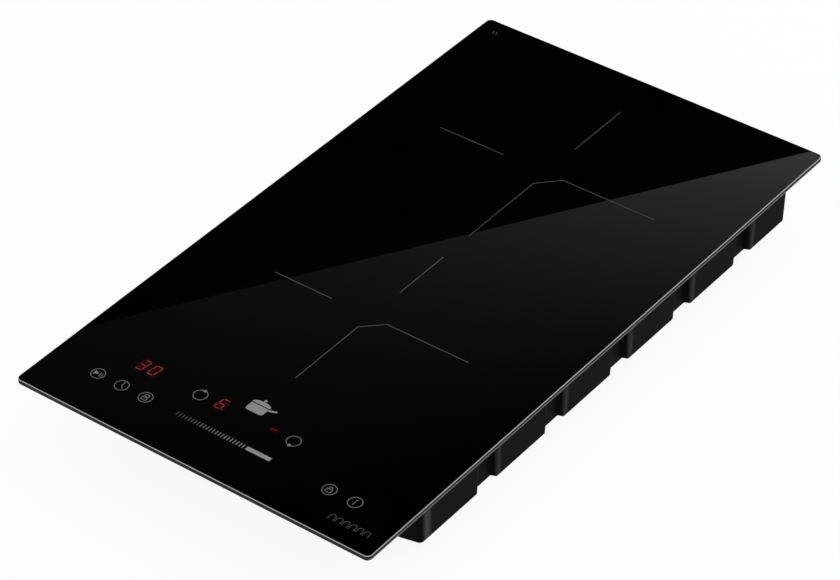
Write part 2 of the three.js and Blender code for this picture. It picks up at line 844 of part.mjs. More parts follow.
// An extruded section: a base on two legs, with upright fins that run with the air.
function heatsink() {
  const body = [box(
    heatsinkLeft, heatsinkRight, heatsinkFront, heatsinkBack,
    heatsinkBaseZ, heatsinkBaseZ + heatsinkBase,
  )];
  const pitch = (heatsinkWidth - finThickness) / (heatsinkFins - 1);
  for (let index = 0; index < heatsinkFins; index += 1) {
    const left = heatsinkLeft + index * pitch;
    body.push(box(
      left, left + finThickness, heatsinkFront, heatsinkBack, heatsinkBaseZ + overlap, tallPartTop,
    ));
  }
  [heatsinkLeft, heatsinkRight - 2 * finThickness].forEach((left) => {
    body.push(box(
      left, left + 2 * finThickness, heatsinkFront, heatsinkBack, boardTop, heatsinkBaseZ + overlap,
    ));
  });
  return shape(join(...body));
}

add('heatsink', heatsink(), material(0xb9bbbd, 0.45, 1));

// A flat power package lying on the board under the heatsink, its three legs bent down.
function powerPackage(x, y) {
  const half = deviceWidth / 2;
  const front = y - deviceLength / 2;
  const body = [box(
    x - half, x + half, front, front + deviceLength, boardTop, boardTop + deviceThickness,
  )];
  [-1, 0, 1].forEach((place) => {
    const left = x + place * deviceWidth / 3 - legWidth / 2;
    const right = left + legWidth;
    const toe = front - legReach;
    const legZ = boardTop + deviceThickness / 2;
    body.push(box(left, right, toe, front + overlap, legZ, legZ + legThickness));
    body.push(box(left, right, toe, toe + legThickness, boardTop, legZ + legThickness / 2));
  });
  return shape(join(...body));
}

const deviceX = (heatsinkLeft + heatsinkRight) / 2;
const devicePlastic = material(0x1a1a1c, 0.55);
['front_transistor', 'bridge_rectifier', 'back_transistor'].forEach((name, index) => {
  const y = heatsinkFront + heatsinkLength * (index + 0.5) / 3;
  add(name, powerPackage(deviceX, y), devicePlastic.clone());
});

// ---------------------------------------------------------------- tall parts beside the heatsink

// They stand in one row along the board, from the back to the front.
const rowX = heatsinkRight + partGap + capacitorWidth / 2;
let rowBack = powerBoard.back - 2 * boardHoleInset;

function moulded(x, y, width, length, z0, z1) {
  const outline = roundedRectangle(
    x - width / 2, x + width / 2, y - length / 2, y + length / 2, mouldedCornerRadius, 2,
  );
  return slab(outline, z0, z1);
}

function nextInRow(length) {
  const y = rowBack - length / 2;
  rowBack -= length + partGap;
  return y;
}

const capacitorTop = boardTop + capacitorHeight;
const capacitorBox = material(0xd8d2bf, 0.5);
['back_resonant_capacitor', 'bus_capacitor', 'front_resonant_capacitor'].forEach((name) => {
  const y = nextInRow(capacitorLength);
  const body = moulded(rowX, y, capacitorWidth, capacitorLength, boardTop, capacitorTop);
  add(name, body, capacitorBox.clone());
});

// A ferrite core clamped round a bobbin.
const transformerX = heatsinkRight + partGap + transformerSize / 2;
const transformerY = nextInRow(transformerSize);
const core = moulded(
  transformerX, transformerY, transformerSize - coreSetback, transformerSize,
  boardTop + corePinHeight, boardTop + transformerHeight,
);
const bobbin = moulded(
  transformerX, transformerY, transformerSize, transformerSize - bobbinSetback,
  boardTop, boardTop + transformerHeight - bobbinDrop,
);
add('supply_transformer', shape(join(core, bobbin)), material(0x4a4640, 0.7));

const reservoirY = nextInRow(2 * reservoirRadius);
const reservoir = turned([
  [0, 0], [reservoirRadius, 0], [reservoirRadius, 3 * reservoirBead],
  [reservoirRadius - reservoirBead, 4 * reservoirBead], [reservoirRadius, 5 * reservoirBead],
  [reservoirRadius, reservoirHeight - reservoirBead],
  [reservoirRadius - reservoirBead, reservoirHeight], [0, reservoirHeight],
], 12);
add('reservoir_capacitor', reservoir, material(0x23283a, 0.45)).position.set(
  rowX, reservoirY, boardTop,
);

// ---------------------------------------------------------------- mains filter

const filterX = (filterBoard.left + filterBoard.right) / 2;
const chokeY = filterBoard.back - 2 * boardHoleInset - chokeRadius;
const choke = turned([
  [chokeHoleRadius, chokeEdge], [chokeHoleRadius + chokeEdge, 0], [chokeRadius - chokeEdge, 0],
  [chokeRadius, chokeEdge], [chokeRadius, chokeHeight - chokeEdge],
  [chokeRadius - chokeEdge, chokeHeight], [chokeHoleRadius + chokeEdge, chokeHeight],
  [chokeHoleRadius, chokeHeight - chokeEdge], [chokeHoleRadius, chokeEdge],
], 20);
add('mains_choke', choke, material(0x8a4a22, 0.45, 0.4)).position.set(filterX, chokeY, boardTop);

const filterCapacitorY = chokeY - chokeRadius - partGap - capacitorWidth / 2;
add('filter_capacitor', moulded(
  filterX, filterCapacitorY, capacitorLength - partGap, capacitorWidth, boardTop,
  capacitorTop - filterCapacitorDrop,
), material(0xc9a227, 0.5));

// A glass tube fuse held in two spring clips on the board.
const fuseY = filterCapacitorY - capacitorWidth / 2 - partGap - fuseRadius;
const fuseZ = boardTop + 2 * fuseRadius;
const fuseTube = new THREE.CylinderGeometry(fuseRadius, fuseRadius, fuseLength, 12);
fuseTube.rotateZ(Math.PI / 2).translate(filterX, fuseY, fuseZ);
const fuseClips = [-1, 1].map((end) => {
  const clipX = filterX + end * (fuseLength / 2 - fuseEndCap - fuseClipLength / 2);
  const half = fuseClipLength / 2;
  const reach = fuseRadius + fuseClipWall;
  return box(clipX - half, clipX + half, fuseY - reach, fuseY + reach, boardTop, fuseZ);
});
add('mains_fuse', shape(join(fuseTube, ...fuseClips)), material(0xd0d2d2, 0.3, 0.4));

// ---------------------------------------------------------------- terminal block and cable inlet

const terminalFrontY = terminalBackY - terminalLength;
const terminalTop = floorTop + terminalHeight;
const poleWells = [];
for (let pole = 0; pole < terminalPoles; pole += 1) {
  const pitch = terminalWidth / terminalPoles;
  const x = terminalX - terminalWidth / 2 + pitch * (pole + 0.5);
  const y = (terminalFrontY + terminalBackY) / 2;
  const mouthZ = floorTop + wireMouthSill;
  poleWells.push(upright(
    poleScrewRadius, x, y, terminalTop - poleScrewDepth, terminalTop + past, 12,
  ));
  poleWells.push(box(
    x - wireMouthSize / 2, x + wireMouthSize / 2, terminalBackY - wireMouthDepth,
    terminalBackY + past, mouthZ, mouthZ + wireMouthSize,
  ));
}
const terminalBody = moulded(
  terminalX, (terminalFrontY + terminalBackY) / 2, terminalWidth, terminalLength,
  floorTop, terminalTop,
);
add('terminal_block', cut(terminalBody, ...poleWells), material(0xe4e1d6, 0.6));

// A snap-in bush through the back wall. Its flange lies against the seat outside.
const bushTail = innerBackY - inletTail;
const bush = turned([
  [inletBoreRadius, bushTail], [inletRadius, bushTail], [inletRadius, inletSeatY],
  [inletRadius + inletFlangeBand, inletSeatY],
  [inletRadius + inletFlangeBand - inletEdge, inletSeatY + inletFlange],
  [inletBoreRadius, inletSeatY + inletFlange], [inletBoreRadius, bushTail],
], 20);
bush.rotateX(-Math.PI / 2);
const inletBush = add('cable_inlet', bush, material(0x161616, 0.6));
inletBush.position.set(terminalX, 0, inletHeight);

// ---------------------------------------------------------------- cooling fan

const fanTop = tallPartTop;
const fanHousingTop = fanTop - fanWall;
const fanFloor = floorTop + fanWall;
const bladeRadius = fanWidth / 2 - fanWall - fanBladeClearance;
const rotorTop = fanHousingTop - rotorTopGap;

// The scroll in plan: round at the back, straight sides to the outlet at the front.
function fanOutline(inset, frontY) {
  const radius = fanWidth / 2 - inset;
  const outline = [new THREE.Vector2(-radius, frontY), new THREE.Vector2(radius, frontY)];
  const steps = 16;
  for (let step = 0; step <= steps; step += 1) {
    const angle = (step / steps) * Math.PI;
    outline.push(new THREE.Vector2(radius * Math.cos(angle), radius * Math.sin(angle)));
  }
  return outline;
}

const fan = new THREE.Group();
fan.position.set(fanX, fanY, 0);
cooktop.add(fan);
const outletY = fanFrontY - fanY;

function fanHousing() {
  const tray = solid(slab(fanOutline(0, outletY), floorTop, fanHousingTop));
  const hollow = solid(slab(fanOutline(fanWall, outletY - past), fanFloor, fanTop));
  const inlet = solid(upright(fanInletRadius, 0, 0, 0, fanFloor + past, 24));
  const mount = [upright(fanMotorRadius + fanMountBand, 0, 0, floorTop, fanFloor, 16)];
  for (let spoke = 0; spoke < 3; spoke += 1) {
    const arm = box(
      fanMotorRadius, fanInletRadius + overlap, -fanSpokeWidth / 2, fanSpokeWidth / 2,
      floorTop, fanFloor,
    );
    mount.push(arm.rotateZ(spoke / 3 * 2 * Math.PI));
  }
  return shape(tray.subtract(hollow).subtract(inlet).add(join(...mount)));
}

const fanPlastic = material(0x202124, 0.6);
add('fan_housing', fanHousing(), fanPlastic, fan);
add('fan_cover', slab(fanOutline(0, outletY), fanHousingTop, fanTop), fanPlastic.clone(), fan);

const motorBore = fanShaftRadius + fanShaftClearance;
const motorTop = fanFloor + fanMotorHeight;
add('fan_motor', turned([
  [motorBore, fanFloor], [fanMotorRadius, fanFloor], [fanMotorRadius, motorTop],
  [motorBore, motorTop], [motorBore, fanFloor],
], 16), material(0x7a4a2c, 0.5, 0.5), fan);

// The hub cup turns over the motor, and its back plate carries the ring of leaning blades.
function fanImpeller() {
  const cupInner = fanHubRadius - fanHubWall;
  const plateUnder = rotorTop - rotorPlate;
  const shaftFoot = fanFloor + fanShaftFloorGap;
  const hubFoot = fanFloor + fanHubFloorGap;
  const hub = turned([
    [0, shaftFoot], [fanShaftRadius, shaftFoot], [fanShaftRadius, plateUnder],
    [cupInner, plateUnder], [cupInner, hubFoot], [fanHubRadius, hubFoot],
    [fanHubRadius, plateUnder], [bladeRadius, plateUnder], [bladeRadius, rotorTop], [0, rotorTop],
  ], 24);
  const bladeBottom = fanFloor + fanBladeFloorGap;
  const pieces = [hub];
  for (let blade = 0; blade < fanBladeCount; blade += 1) {
    const vane = box(
      -fanBladeDepth / 2, fanBladeDepth / 2, -fanBladeThickness / 2, fanBladeThickness / 2,
      bladeBottom, plateUnder + overlap,
    );
    vane.rotateZ(THREE.MathUtils.degToRad(fanBladeLean));
    vane.translate(bladeRadius - fanBladeDepth / 2 - fanBladeInset, 0, 0);
    vane.rotateZ(blade / fanBladeCount * 2 * Math.PI);
    pieces.push(vane);
  }
  const shroudInner = bladeRadius - shroudWidth;
  const shroudTop = bladeBottom + shroudThickness;
  pieces.push(turned([
    [shroudInner, bladeBottom], [bladeRadius, bladeBottom], [bladeRadius, shroudTop],
    [shroudInner, shroudTop], [shroudInner, bladeBottom],
  ], 24));
  return shape(join(...pieces));
}

add('fan_impeller', fanImpeller(), material(0x2a2c30, 0.5), fan);

// ---------------------------------------------------------------- touch controls

const bayInnerFrontY = bayFrontY - wallGrowth(bayFloor + floorThickness) + wallThickness;
const holderBottom = bayFloor + floorThickness;
const touchTop = glassUnderside - touchGlassGap;
const touchBottom = touchTop - touchBoardThickness;
const holderFrontY = bayInnerFrontY + holderFrontGap;
const holderBackY = wallFrontY - holderBackGap;
const holderX = innerX - holderSideGap;
const controlBottom = holderBottom + ledgeHeight;
const controlTop = controlBottom + boardThickness;

// A plastic tray, open at the bottom, with a ledge inside for the control board.
function controlHolder() {
  const outer = moulded(
    0, (holderFrontY + holderBackY) / 2, 2 * holderX, holderBackY - holderFrontY,
    holderBottom, touchBottom,
  );
  const wall = holderWall;
  const ledge = holderWall + holderLedge;
  const slotHalf = ribbonHalf + ribbonSlotMargin;
  return cut(
    outer,
    box(-holderX + wall, holderX - wall, holderFrontY + wall, holderBackY - wall,
      controlBottom, touchBottom + past),
    box(-holderX + ledge, holderX - ledge, holderFrontY + ledge, holderBackY - ledge,
      holderBottom - past, controlBottom + past),
    box(ribbonX - slotHalf, ribbonX + slotHalf, holderBackY - ledge - past, holderBackY + past,
      holderBottom - past, controlBottom),
  );
}

add('control_holder', controlHolder(), material(0xd9d9d4, 0.6));

const controlRim = holderWall + boardFit;
const ledgeBackY = holderBackY - holderWall - holderLedge;
const ribbonPlug = box(
  ribbonX - ribbonHalf, ribbonX + ribbonHalf, ledgeBackY - socketLength, ledgeBackY - boardFit,
  holderBottom + boardFit, controlBottom + overlap,
);
const controlPlate = box(
  -holderX + controlRim, holderX - controlRim, holderFrontY + controlRim, holderBackY - controlRim,
  controlBottom, controlTop,
);
add('control_board', shape(join(controlPlate, ribbonPlug)), boardGreen.clone());

const displayY = holderBackY - displaySetback;
const timerDisplayX = timerDisplayInset - holderX;
const displays = [
  { name: 'timer_display', x: timerDisplayX, width: timerDisplayWidth },
  { name: 'left_zone_display', x: leftDisplayX, width: zoneDisplayWidth },
  { name: 'right_zone_display', x: rightDisplayX, width: zoneDisplayWidth },
];
const windows = displays.map(({ x, width }) => {
  const halfWidth = width / 2 + displayClearance;
  const halfHeight = displayHeight / 2 + displayClearance;
  return box(
    x - halfWidth, x + halfWidth, displayY - halfHeight, displayY + halfHeight,
    touchBottom - past, touchTop + past,
  );
});
displays.forEach(({ name, x, width }) => {
  const body = moulded(x, displayY, width, displayHeight, controlTop, touchTop);
  add(name, body, material(0x8c1a14, 0.4));
});
add('touch_board', cut(box(
  -holderX + boardFit, holderX - boardFit, holderFrontY + boardFit, holderBackY - boardFit,
  touchBottom, touchTop,
), ...windows), boardGreen.clone());

const buzzerY = (holderFrontY + holderBackY) / 2;
add('buzzer', turned([
  [0, 0], [buzzerRadius, 0], [buzzerRadius, buzzerHeight], [buzzerPortRadius, buzzerHeight],
  [buzzerPortRadius, buzzerHeight - buzzerPortDepth], [0, buzzerHeight - buzzerPortDepth],
], 20), material(0x121212, 0.6)).position.set(holderX - buzzerInset, buzzerY, controlTop);

// The flat cable from the control board, over the foot of the bay and down to the power board.
const ribbonStartY = ledgeBackY - boardFit + ribbonGap;
const ribbonEndY = socketFrontY - ribbonGap;
const ribbonHighZ = holderBottom + ledgeHeight / 2;
const ribbonLowZ = boardTop + socketHeight / 2;
const ribbonRoute = new THREE.CatmullRomCurve3([
  new THREE.Vector3(ribbonX, ribbonStartY, ribbonHighZ),
  new THREE.Vector3(ribbonX, wallFrontY + 2, ribbonHighZ),
  new THREE.Vector3(ribbonX, innerFrontY + 9, ribbonHighZ - 5),
  new THREE.Vector3(ribbonX, innerFrontY + 13, (ribbonHighZ + ribbonLowZ) / 2),
  new THREE.Vector3(ribbonX, innerFrontY + 20, ribbonLowZ + 3),
  new THREE.Vector3(ribbonX, ribbonEndY - 8, ribbonLowZ),
  new THREE.Vector3(ribbonX, ribbonEndY, ribbonLowZ),
], false, 'centripetal');
const tapeHalf = ribbonHalf - ribbonPlugMargin;
const ribbonSection = new THREE.Shape([
  new THREE.Vector2(-tapeHalf, -ribbonThickness / 2),
  new THREE.Vector2(tapeHalf, -ribbonThickness / 2),
  new THREE.Vector2(tapeHalf, ribbonThickness / 2),
  new THREE.Vector2(-tapeHalf, ribbonThickness / 2),
]);
add('control_cable', new THREE.ExtrudeGeometry(ribbonSection, {
  steps: 24, extrudePath: ribbonRoute,
}), material(0xbfc0c2, 0.6));

export default cooktop;
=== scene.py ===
import math

import bmesh
import bpy
from mathutils import Matrix, Vector


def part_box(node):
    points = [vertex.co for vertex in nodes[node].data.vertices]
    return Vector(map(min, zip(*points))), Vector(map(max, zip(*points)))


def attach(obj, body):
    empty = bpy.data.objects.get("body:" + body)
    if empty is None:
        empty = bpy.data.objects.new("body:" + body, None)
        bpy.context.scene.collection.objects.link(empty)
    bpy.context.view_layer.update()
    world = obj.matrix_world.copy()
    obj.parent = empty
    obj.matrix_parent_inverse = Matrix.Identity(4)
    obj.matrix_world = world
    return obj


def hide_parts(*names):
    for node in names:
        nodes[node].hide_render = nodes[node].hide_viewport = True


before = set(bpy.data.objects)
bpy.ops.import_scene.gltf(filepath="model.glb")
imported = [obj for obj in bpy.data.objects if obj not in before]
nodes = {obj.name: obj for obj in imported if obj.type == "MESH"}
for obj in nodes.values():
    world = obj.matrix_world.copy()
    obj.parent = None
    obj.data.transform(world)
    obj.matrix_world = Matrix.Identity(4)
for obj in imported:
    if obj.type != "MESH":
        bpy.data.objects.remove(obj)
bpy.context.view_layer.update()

# ------------------------ camera
# A long lens on a tall stand looks down over the front right corner of the glass. It is aimed
# a little in front of the middle of the panel, and its angles are in degrees.

MM = 0.001
AIM = Vector((10.10, -29.92, 56.0)) * MM
AZIMUTH = 37.5288
ELEVATION = 38.1148
DISTANCE = 2406.3 * MM
ROLL = -0.6128
LENS = 154.33

camera_data = bpy.data.cameras.new("camera")
camera_data.sensor_width = 36
camera_data.lens = LENS
camera = bpy.data.objects.new("camera", camera_data)
bpy.context.scene.collection.objects.link(camera)
bpy.context.scene.camera = camera
turn = math.radians(AZIMUTH)
tilt = math.radians(ELEVATION)
towards = Vector((
    -math.sin(turn) * math.cos(tilt), math.cos(turn) * math.cos(tilt), -math.sin(tilt),
))
facing = towards.to_track_quat("-Z", "Y").to_matrix().to_4x4()
camera.matrix_world = (
    Matrix.Translation(AIM - towards * DISTANCE) @ facing
    @ Matrix.Rotation(math.radians(ROLL), 4, "Z")
)

# ------------------------ bottom case
# One deep tray of black glass-filled polyamide, injection moulded with a spark-eroded skin.
# It hangs under the glass from a steel frame, on four screws through its side recesses.


def linear(hex_colour):
    """An sRGB hex colour as the linear RGBA that a shader takes."""
    channels = [int(hex_colour[place:place + 2], 16) / 255 for place in (1, 3, 5)]
    return [c / 12.92 if c <= 0.04045 else ((c + 0.055) / 1.055) ** 2.4 for c in channels] + [1]


def add_node(tree, kind, inputs, **settings):
    """Adds a node, fills its inputs with values or links, and hands back its outputs."""
    made = tree.nodes.new("ShaderNode" + kind)
    for name, value in settings.items():
        setattr(made, name, value)
    for name, value in inputs.items():
        if isinstance(value, bpy.types.NodeSocket):
            tree.links.new(value, made.inputs[name])
        else:
            made.inputs[name].default_value = value
    return made.outputs


def new_material(name, **sockets):
    """A material with constants on its shader's sockets, and the tree to build its pattern in."""
    material = bpy.data.materials.new(name)
    material.use_nodes = True
    tree = material.node_tree
    shader = tree.nodes["Principled BSDF"]
    for socket, value in sockets.items():
        shader.inputs[socket.replace("_", " ")].default_value = value
    place = add_node(tree, "TexCoord", {})["Object"]
    return material, tree, shader, place


def lay_on(tree, shader, pattern, colours, roughness, relief):
    """Lets one pattern of 0 to 1 carry a finish's tone, its gloss, and its relief in mm."""
    tone = add_node(tree, "Mix", {
        0: pattern, 6: linear(colours[0]), 7: linear(colours[1]),
    }, data_type="RGBA")[2]
    gloss = add_node(tree, "MapRange", {
        "Value": pattern, "To Min": roughness[0], "To Max": roughness[1],
    })["Result"]
    bump = add_node(tree, "Bump", {"Height": pattern, "Distance": relief * MM})["Normal"]
    tree.links.new(tone, shader.inputs["Base Color"])
    tree.links.new(gloss, shader.inputs["Roughness"])
    tree.links.new(bump, shader.inputs["Normal"])
    return tone


def per_mm(size):
    """The scale that gives a pattern features of this size in millimetres."""
    return 1 / (size * MM)


def moulded(name, dark, light, roughness, grain, relief, **sockets):
    """Moulded plastic: a fine grain in the skin, over slow streaks where the melt flowed."""
    material, tree, shader, place = new_material(name, **sockets)
    skin = add_node(tree, "TexNoise", {
        "Vector": place, "Scale": per_mm(grain), "Detail": 3, "Roughness": 0.6,
    })["Fac"]
    flow = add_node(tree, "TexNoise", {"Vector": place, "Scale": per_mm(45), "Detail": 2})["Fac"]
    both = add_node(tree, "Mix", {"Factor": 0.4, "A": skin, "B": flow}, data_type="FLOAT")["Result"]
    spread = (roughness + 0.06, roughness - 0.06)
    lay_on(tree, shader, both, (dark, light), spread, relief)
    return material


def dress(material, *names):
    """Gives CAD pieces this finish."""
    for name in names:
        for place in nodes[name].material_slots:
            place.material = material


def placed(name, mesh, material):
    """Stands a mesh of one material in the scene."""
    mesh.materials.append(material)
    piece = bpy.data.objects.new(name, mesh)
    bpy.context.scene.collection.objects.link(piece)
    return piece


def new_piece(name, work, material, slot, *replaced):
    """Turns a built-up mesh into a piece that rides on the cooktop's fixed body."""
    mesh = bpy.data.meshes.new(name)
    work.to_mesh(mesh)
    work.free()
    piece = placed(name, mesh, material)
    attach(piece, "cooktop")
    if replaced:
        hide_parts(*replaced)
    return piece


SHARP = math.radians(35)
FLAT = math.radians(0.5)
SHORTEST = 2.2


def eased(name, node, edge, material, slot):
    """A CAD piece with its sharp edges rounded off, as its mould or tool leaves them."""
    work = bmesh.new()
    work.from_mesh(nodes[node].data)
    bmesh.ops.remove_doubles(work, verts=work.verts, dist=0.001 * MM)
    bmesh.ops.dissolve_limit(
        work, angle_limit=FLAT, verts=work.verts, edges=work.edges, delimit={"NORMAL"},
    )
    sharp = [
        e for e in work.edges
        if e.calc_face_angle(0) > SHARP and e.calc_length() > SHORTEST * edge * MM
    ]
    bmesh.ops.bevel(
        work, geom=sharp, offset=edge * MM, offset_type="OFFSET", segments=2, profile=0.5,
        affect="EDGES", clamp_overlap=False,
    )
    for face in work.faces:
        face.smooth = True
    for e in work.edges:
        e.smooth = e.calc_face_angle(0) < SHARP
    piece = new_piece(name, work, material, slot, node)
    even = piece.modifiers.new("even_normals", "WEIGHTED_NORMAL")
    even.keep_sharp = True


# The spark-eroded skin scatters most of what it reflects. A painted highlight makes the walls a
# little paler behind each upright corner that faces the front, where light catches them. The grain
# is drawn at twice its real size, so that it shows.
SKIN_GRAIN = 0.8
WALL_FOOT = 127.87
WALL_FRONT = -185.0
WALL_DRAFT = math.tan(math.radians(3))
CORNER_DEPTH = 3.4
FIRST_BULGE = -104.4
BULGE_PITCH = 75.094
BULGE_LEAD = 1
HIGHLIGHT_START = 2.6
HIGHLIGHT_LENGTH = 4
BULGE_HIGHLIGHT = 0.57
FRONT_HIGHLIGHT = ((1.6, 6.0), (12.4, 6.2))
case_polyamide, tree, shader, place = new_material(
    "moulded_black_polyamide", IOR=1.53, Specular_IOR_Level=0.015,
)
skin = add_node(tree, "TexNoise", {
    "Vector": place, "Scale": per_mm(SKIN_GRAIN), "Detail": 3, "Roughness": 0.6,
})["Fac"]
tone = lay_on(tree, shader, skin, ("#080808", "#0f0f0f"), (0.62, 0.5), 0.04)
facing = add_node(tree, "SeparateXYZ", {0: tree.nodes["Texture Coordinate"].outputs["Normal"]})["X"]
sideways = add_node(tree, "Math", {0: facing}, operation="ABSOLUTE")[0]

# The painted highlight is on the outer skin only, and leans with the walls.
spot = add_node(tree, "SeparateXYZ", {0: place})
aside = add_node(tree, "Math", {0: spot["X"]}, operation="ABSOLUTE")[0]
upright = add_node(tree, "Math", {
    0: spot["Z"], 1: -WALL_DRAFT, 2: aside,
}, operation="MULTIPLY_ADD")[0]
outer = add_node(tree, "Math", {
    0: upright, 1: (WALL_FOOT - CORNER_DEPTH) * MM,
}, operation="GREATER_THAN")[0]
along = add_node(tree, "Math", {
    0: spot["Z"], 1: WALL_DRAFT, 2: spot["Y"],
}, operation="MULTIPLY_ADD")[0]

# The painted highlight starts at its palest behind each bulge's front corner, and fades in a few
# millimetres.
later = add_node(tree, "Math", {
    0: along, 1: (FIRST_BULGE - BULGE_LEAD) * MM,
}, operation="GREATER_THAN")[0]
behind = add_node(tree, "Math", {0: along, 1: FIRST_BULGE * MM}, operation="SUBTRACT")[0]
behind = add_node(tree, "Math", {
    0: behind, 1: (BULGE_PITCH - BULGE_LEAD) * MM, 2: -BULGE_LEAD * MM,
}, operation="WRAP")[0]
bulge_highlight = add_node(tree, "MapRange", {
    "Value": behind, "From Min": (HIGHLIGHT_START + HIGHLIGHT_LENGTH) * MM, "From Max": HIGHLIGHT_START * MM,
    "To Max": BULGE_HIGHLIGHT,
}, interpolation_type="SMOOTHSTEP")["Result"]
bulge_highlight = add_node(tree, "Math", {0: bulge_highlight, 1: sideways}, operation="MULTIPLY")[0]
bulge_highlight = add_node(tree, "Math", {0: bulge_highlight, 1: later}, operation="MULTIPLY")[0]

# Behind the front wall's corner the painted highlight rises and falls again, from none to full and
# back.
highlight_rise, highlight_fall = (
    add_node(tree, "MapRange", {
        "Value": along, "From Min": (WALL_FRONT + none) * MM, "From Max": (WALL_FRONT + full) * MM,
    }, interpolation_type="SMOOTHSTEP")["Result"] for none, full in FRONT_HIGHLIGHT
)
front_highlight = add_node(tree, "Math", {0: highlight_rise, 1: highlight_fall}, operation="MULTIPLY")[0]
painted_highlight = add_node(tree, "Math", {0: front_highlight, 1: bulge_highlight}, operation="MAXIMUM")[0]
painted_highlight = add_node(tree, "Math", {0: painted_highlight, 1: outer}, operation="MULTIPLY")[0]
# Where the painted highlight falls, the skin's tone is mixed towards a paler grey.
painted_highlight = add_node(tree, "Mix", {0: painted_highlight, 6: tone, 7: linear("#424242")}, data_type="RGBA")[2]
tree.links.new(painted_highlight, shader.inputs["Base Color"])
eased("case_tray", "bottom_case", 0.35, case_polyamide, "case_plastic")

# ------------------------ cable inlet
# A black nylon bush that snaps into the back wall, where the mains cord comes in. It is moulded
# in a polished tool, so its skin is finer than the case's and shines a little more.

inlet_nylon = moulded("black_nylon", "#121213", "#1c1c1e", 0.45, 0.5, 0.02, IOR=1.53)
eased("inlet_bush", "cable_inlet", 0.3, inlet_nylon, "inlet_nylon")

# ------------------------ terminal block
# A moulded block on the floor of the case, with four screws that clamp the mains wires. Its
# nylon isn't dyed, and looks milky with a dull sheen.

terminal_nylon = moulded("natural_nylon", "#dcd8c9", "#e8e5da", 0.5, 0.7, 0.02, IOR=1.53)
eased("terminal_body", "terminal_block", 0.3, terminal_nylon, "terminal_nylon")

# ------------------------ mains filter
# A small epoxy-glass board under green solder mask. The mask lies over etched copper, which
# shows through as paler areas with dark gaps, and drops of solder stand on the pads.

COPPER_AREA = 7
ETCHED_GAP = 0.09
PAD_PITCH = 5.08
PAD_SIZE = 0.14
board_mask, tree, shader, place = new_material("green_solder_mask", IOR=1.5)
nearest, second = (
    add_node(tree, "TexVoronoi", {
        "Vector": place, "Scale": per_mm(COPPER_AREA), "Randomness": 0.8,
    }, distance="CHEBYCHEV", voronoi_dimensions="2D", feature=order)["Distance"]
    for order in ("F1", "F2")
)
gap = add_node(tree, "Math", {0: second, 1: nearest}, operation="SUBTRACT")[0]
copper = add_node(tree, "MapRange", {
    "Value": gap, "From Min": ETCHED_GAP / 2, "From Max": ETCHED_GAP,
})["Result"]
tone = lay_on(tree, shader, copper, ("#1b4726", "#2f6b3a"), (0.4, 0.3), 0.035)
pads = add_node(tree, "TexVoronoi", {
    "Vector": place, "Scale": per_mm(PAD_PITCH), "Randomness": 0.35,
}, voronoi_dimensions="2D")["Distance"]
solder = add_node(tree, "Math", {0: pads, 1: PAD_SIZE}, operation="LESS_THAN")[0]
tone = add_node(tree, "Mix", {0: solder, 6: tone, 7: linear("#c3c5c6")}, data_type="RGBA")[2]
tree.links.new(tone, shader.inputs["Base Color"])
tree.links.new(solder, shader.inputs["Metallic"])
dress(board_mask, "filter_board", "power_board", "control_board", "touch_board")


def box_mm(node):
    """The lowest and the highest corner of a CAD piece, in mm."""
    return [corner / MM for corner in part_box(node)]


def skin_over(work, rings, closed=False, smooth=True):
    """Joins rings of points with faces, and caps the ends unless the row of rings is closed."""
    spans = list(zip(rings, rings[1:])) + ([(rings[-1], rings[0])] if closed else [])
    for here, there in spans:
        for index in range(len(here)):
            after = (index + 1) % len(here)
            face = work.faces.new((here[index], here[after], there[after], there[index]))
            face.smooth = smooth
    if not closed:
        work.faces.new(list(reversed(rings[0])))
        work.faces.new(rings[-1])


def tube(work, points, radii, sides):
    """A round or oval wire along these points. radii are its half width and half height."""
    rings = []
    for index, point in enumerate(points):
        before = points[max(index - 1, 0)]
        after = points[min(index + 1, len(points) - 1)]
        way = (after - before).normalized()
        if not rings:
            side = way.orthogonal().normalized()
        side = (side - way * side.dot(way)).normalized()
        if abs(way.z) < 0.5 and radii[0] != radii[1]:
            side = Vector((0, 0, 1)).cross(way).normalized()
        over = way.cross(side)
        turns = [2 * math.pi * step / sides for step in range(sides)]
        rings.append([
            work.verts.new((
                point + side * math.cos(turn) * radii[0] + over * math.sin(turn) * radii[1]
            ) * MM) for turn in turns
        ])
    skin_over(work, rings)


def lathe(work, profile, steps, centre):
    """A body of revolution about an upright axis. The profile runs round, in radius and height."""
    rings = []
    for step in range(steps):
        turn = 2 * math.pi * step / steps
        rings.append([
            work.verts.new((centre + Vector((r * math.cos(turn), r * math.sin(turn), z))) * MM)
            for r, z in profile
        ])
    skin_over(work, rings[::-1], closed=True)


def mottled(name, colours, roughness, grain, detail, relief, **sockets):
    """A finish whose tone, gloss and relief all follow one fine, cloudy grain."""
    material, tree, shader, place = new_material(name, **sockets)
    cloud = add_node(tree, "TexNoise", {"Vector": place, "Scale": per_mm(grain), "Detail": detail})
    lay_on(tree, shader, cloud["Fac"], colours, roughness, relief)
    return material


# The choke is a coated ferrite ring with two banks of wire wound through it. The wire's enamel
# is clear over bright copper, and the sintered ring is a dull charcoal ceramic.
WIRE = 1.2
BANK_TURNS = 12
TURN_STEPS = 16
CORE_STEPS = 48
CORE_HOLE = 7
BANK_START = 25
BANK_REACH = 130
SQUARENESS = 0.35
enamelled_copper = mottled(
    "enamelled_copper", ("#8a4420", "#b86a38"), (0.22, 0.4), 1.5, 3, 0.02, Metallic=1.0,
)
ferrite = moulded("sintered_ferrite", "#2e2e31", "#444448", 0.75, 0.5, 0.03, IOR=2.2)
low, high = box_mm("mains_choke")
choke_centre = Vector(((low.x + high.x) / 2, (low.y + high.y) / 2, low.z))
choke_radius = (high.x - low.x) / 2
choke_height = high.z - low.z
ring_middle = (CORE_HOLE + choke_radius) / 2
half_wide = (choke_radius - CORE_HOLE) / 2 - WIRE / 2
half_high = choke_height / 2 - WIRE / 2
core_wide = half_wide - WIRE / 2
core_high = half_high - WIRE / 2
work = bmesh.new()
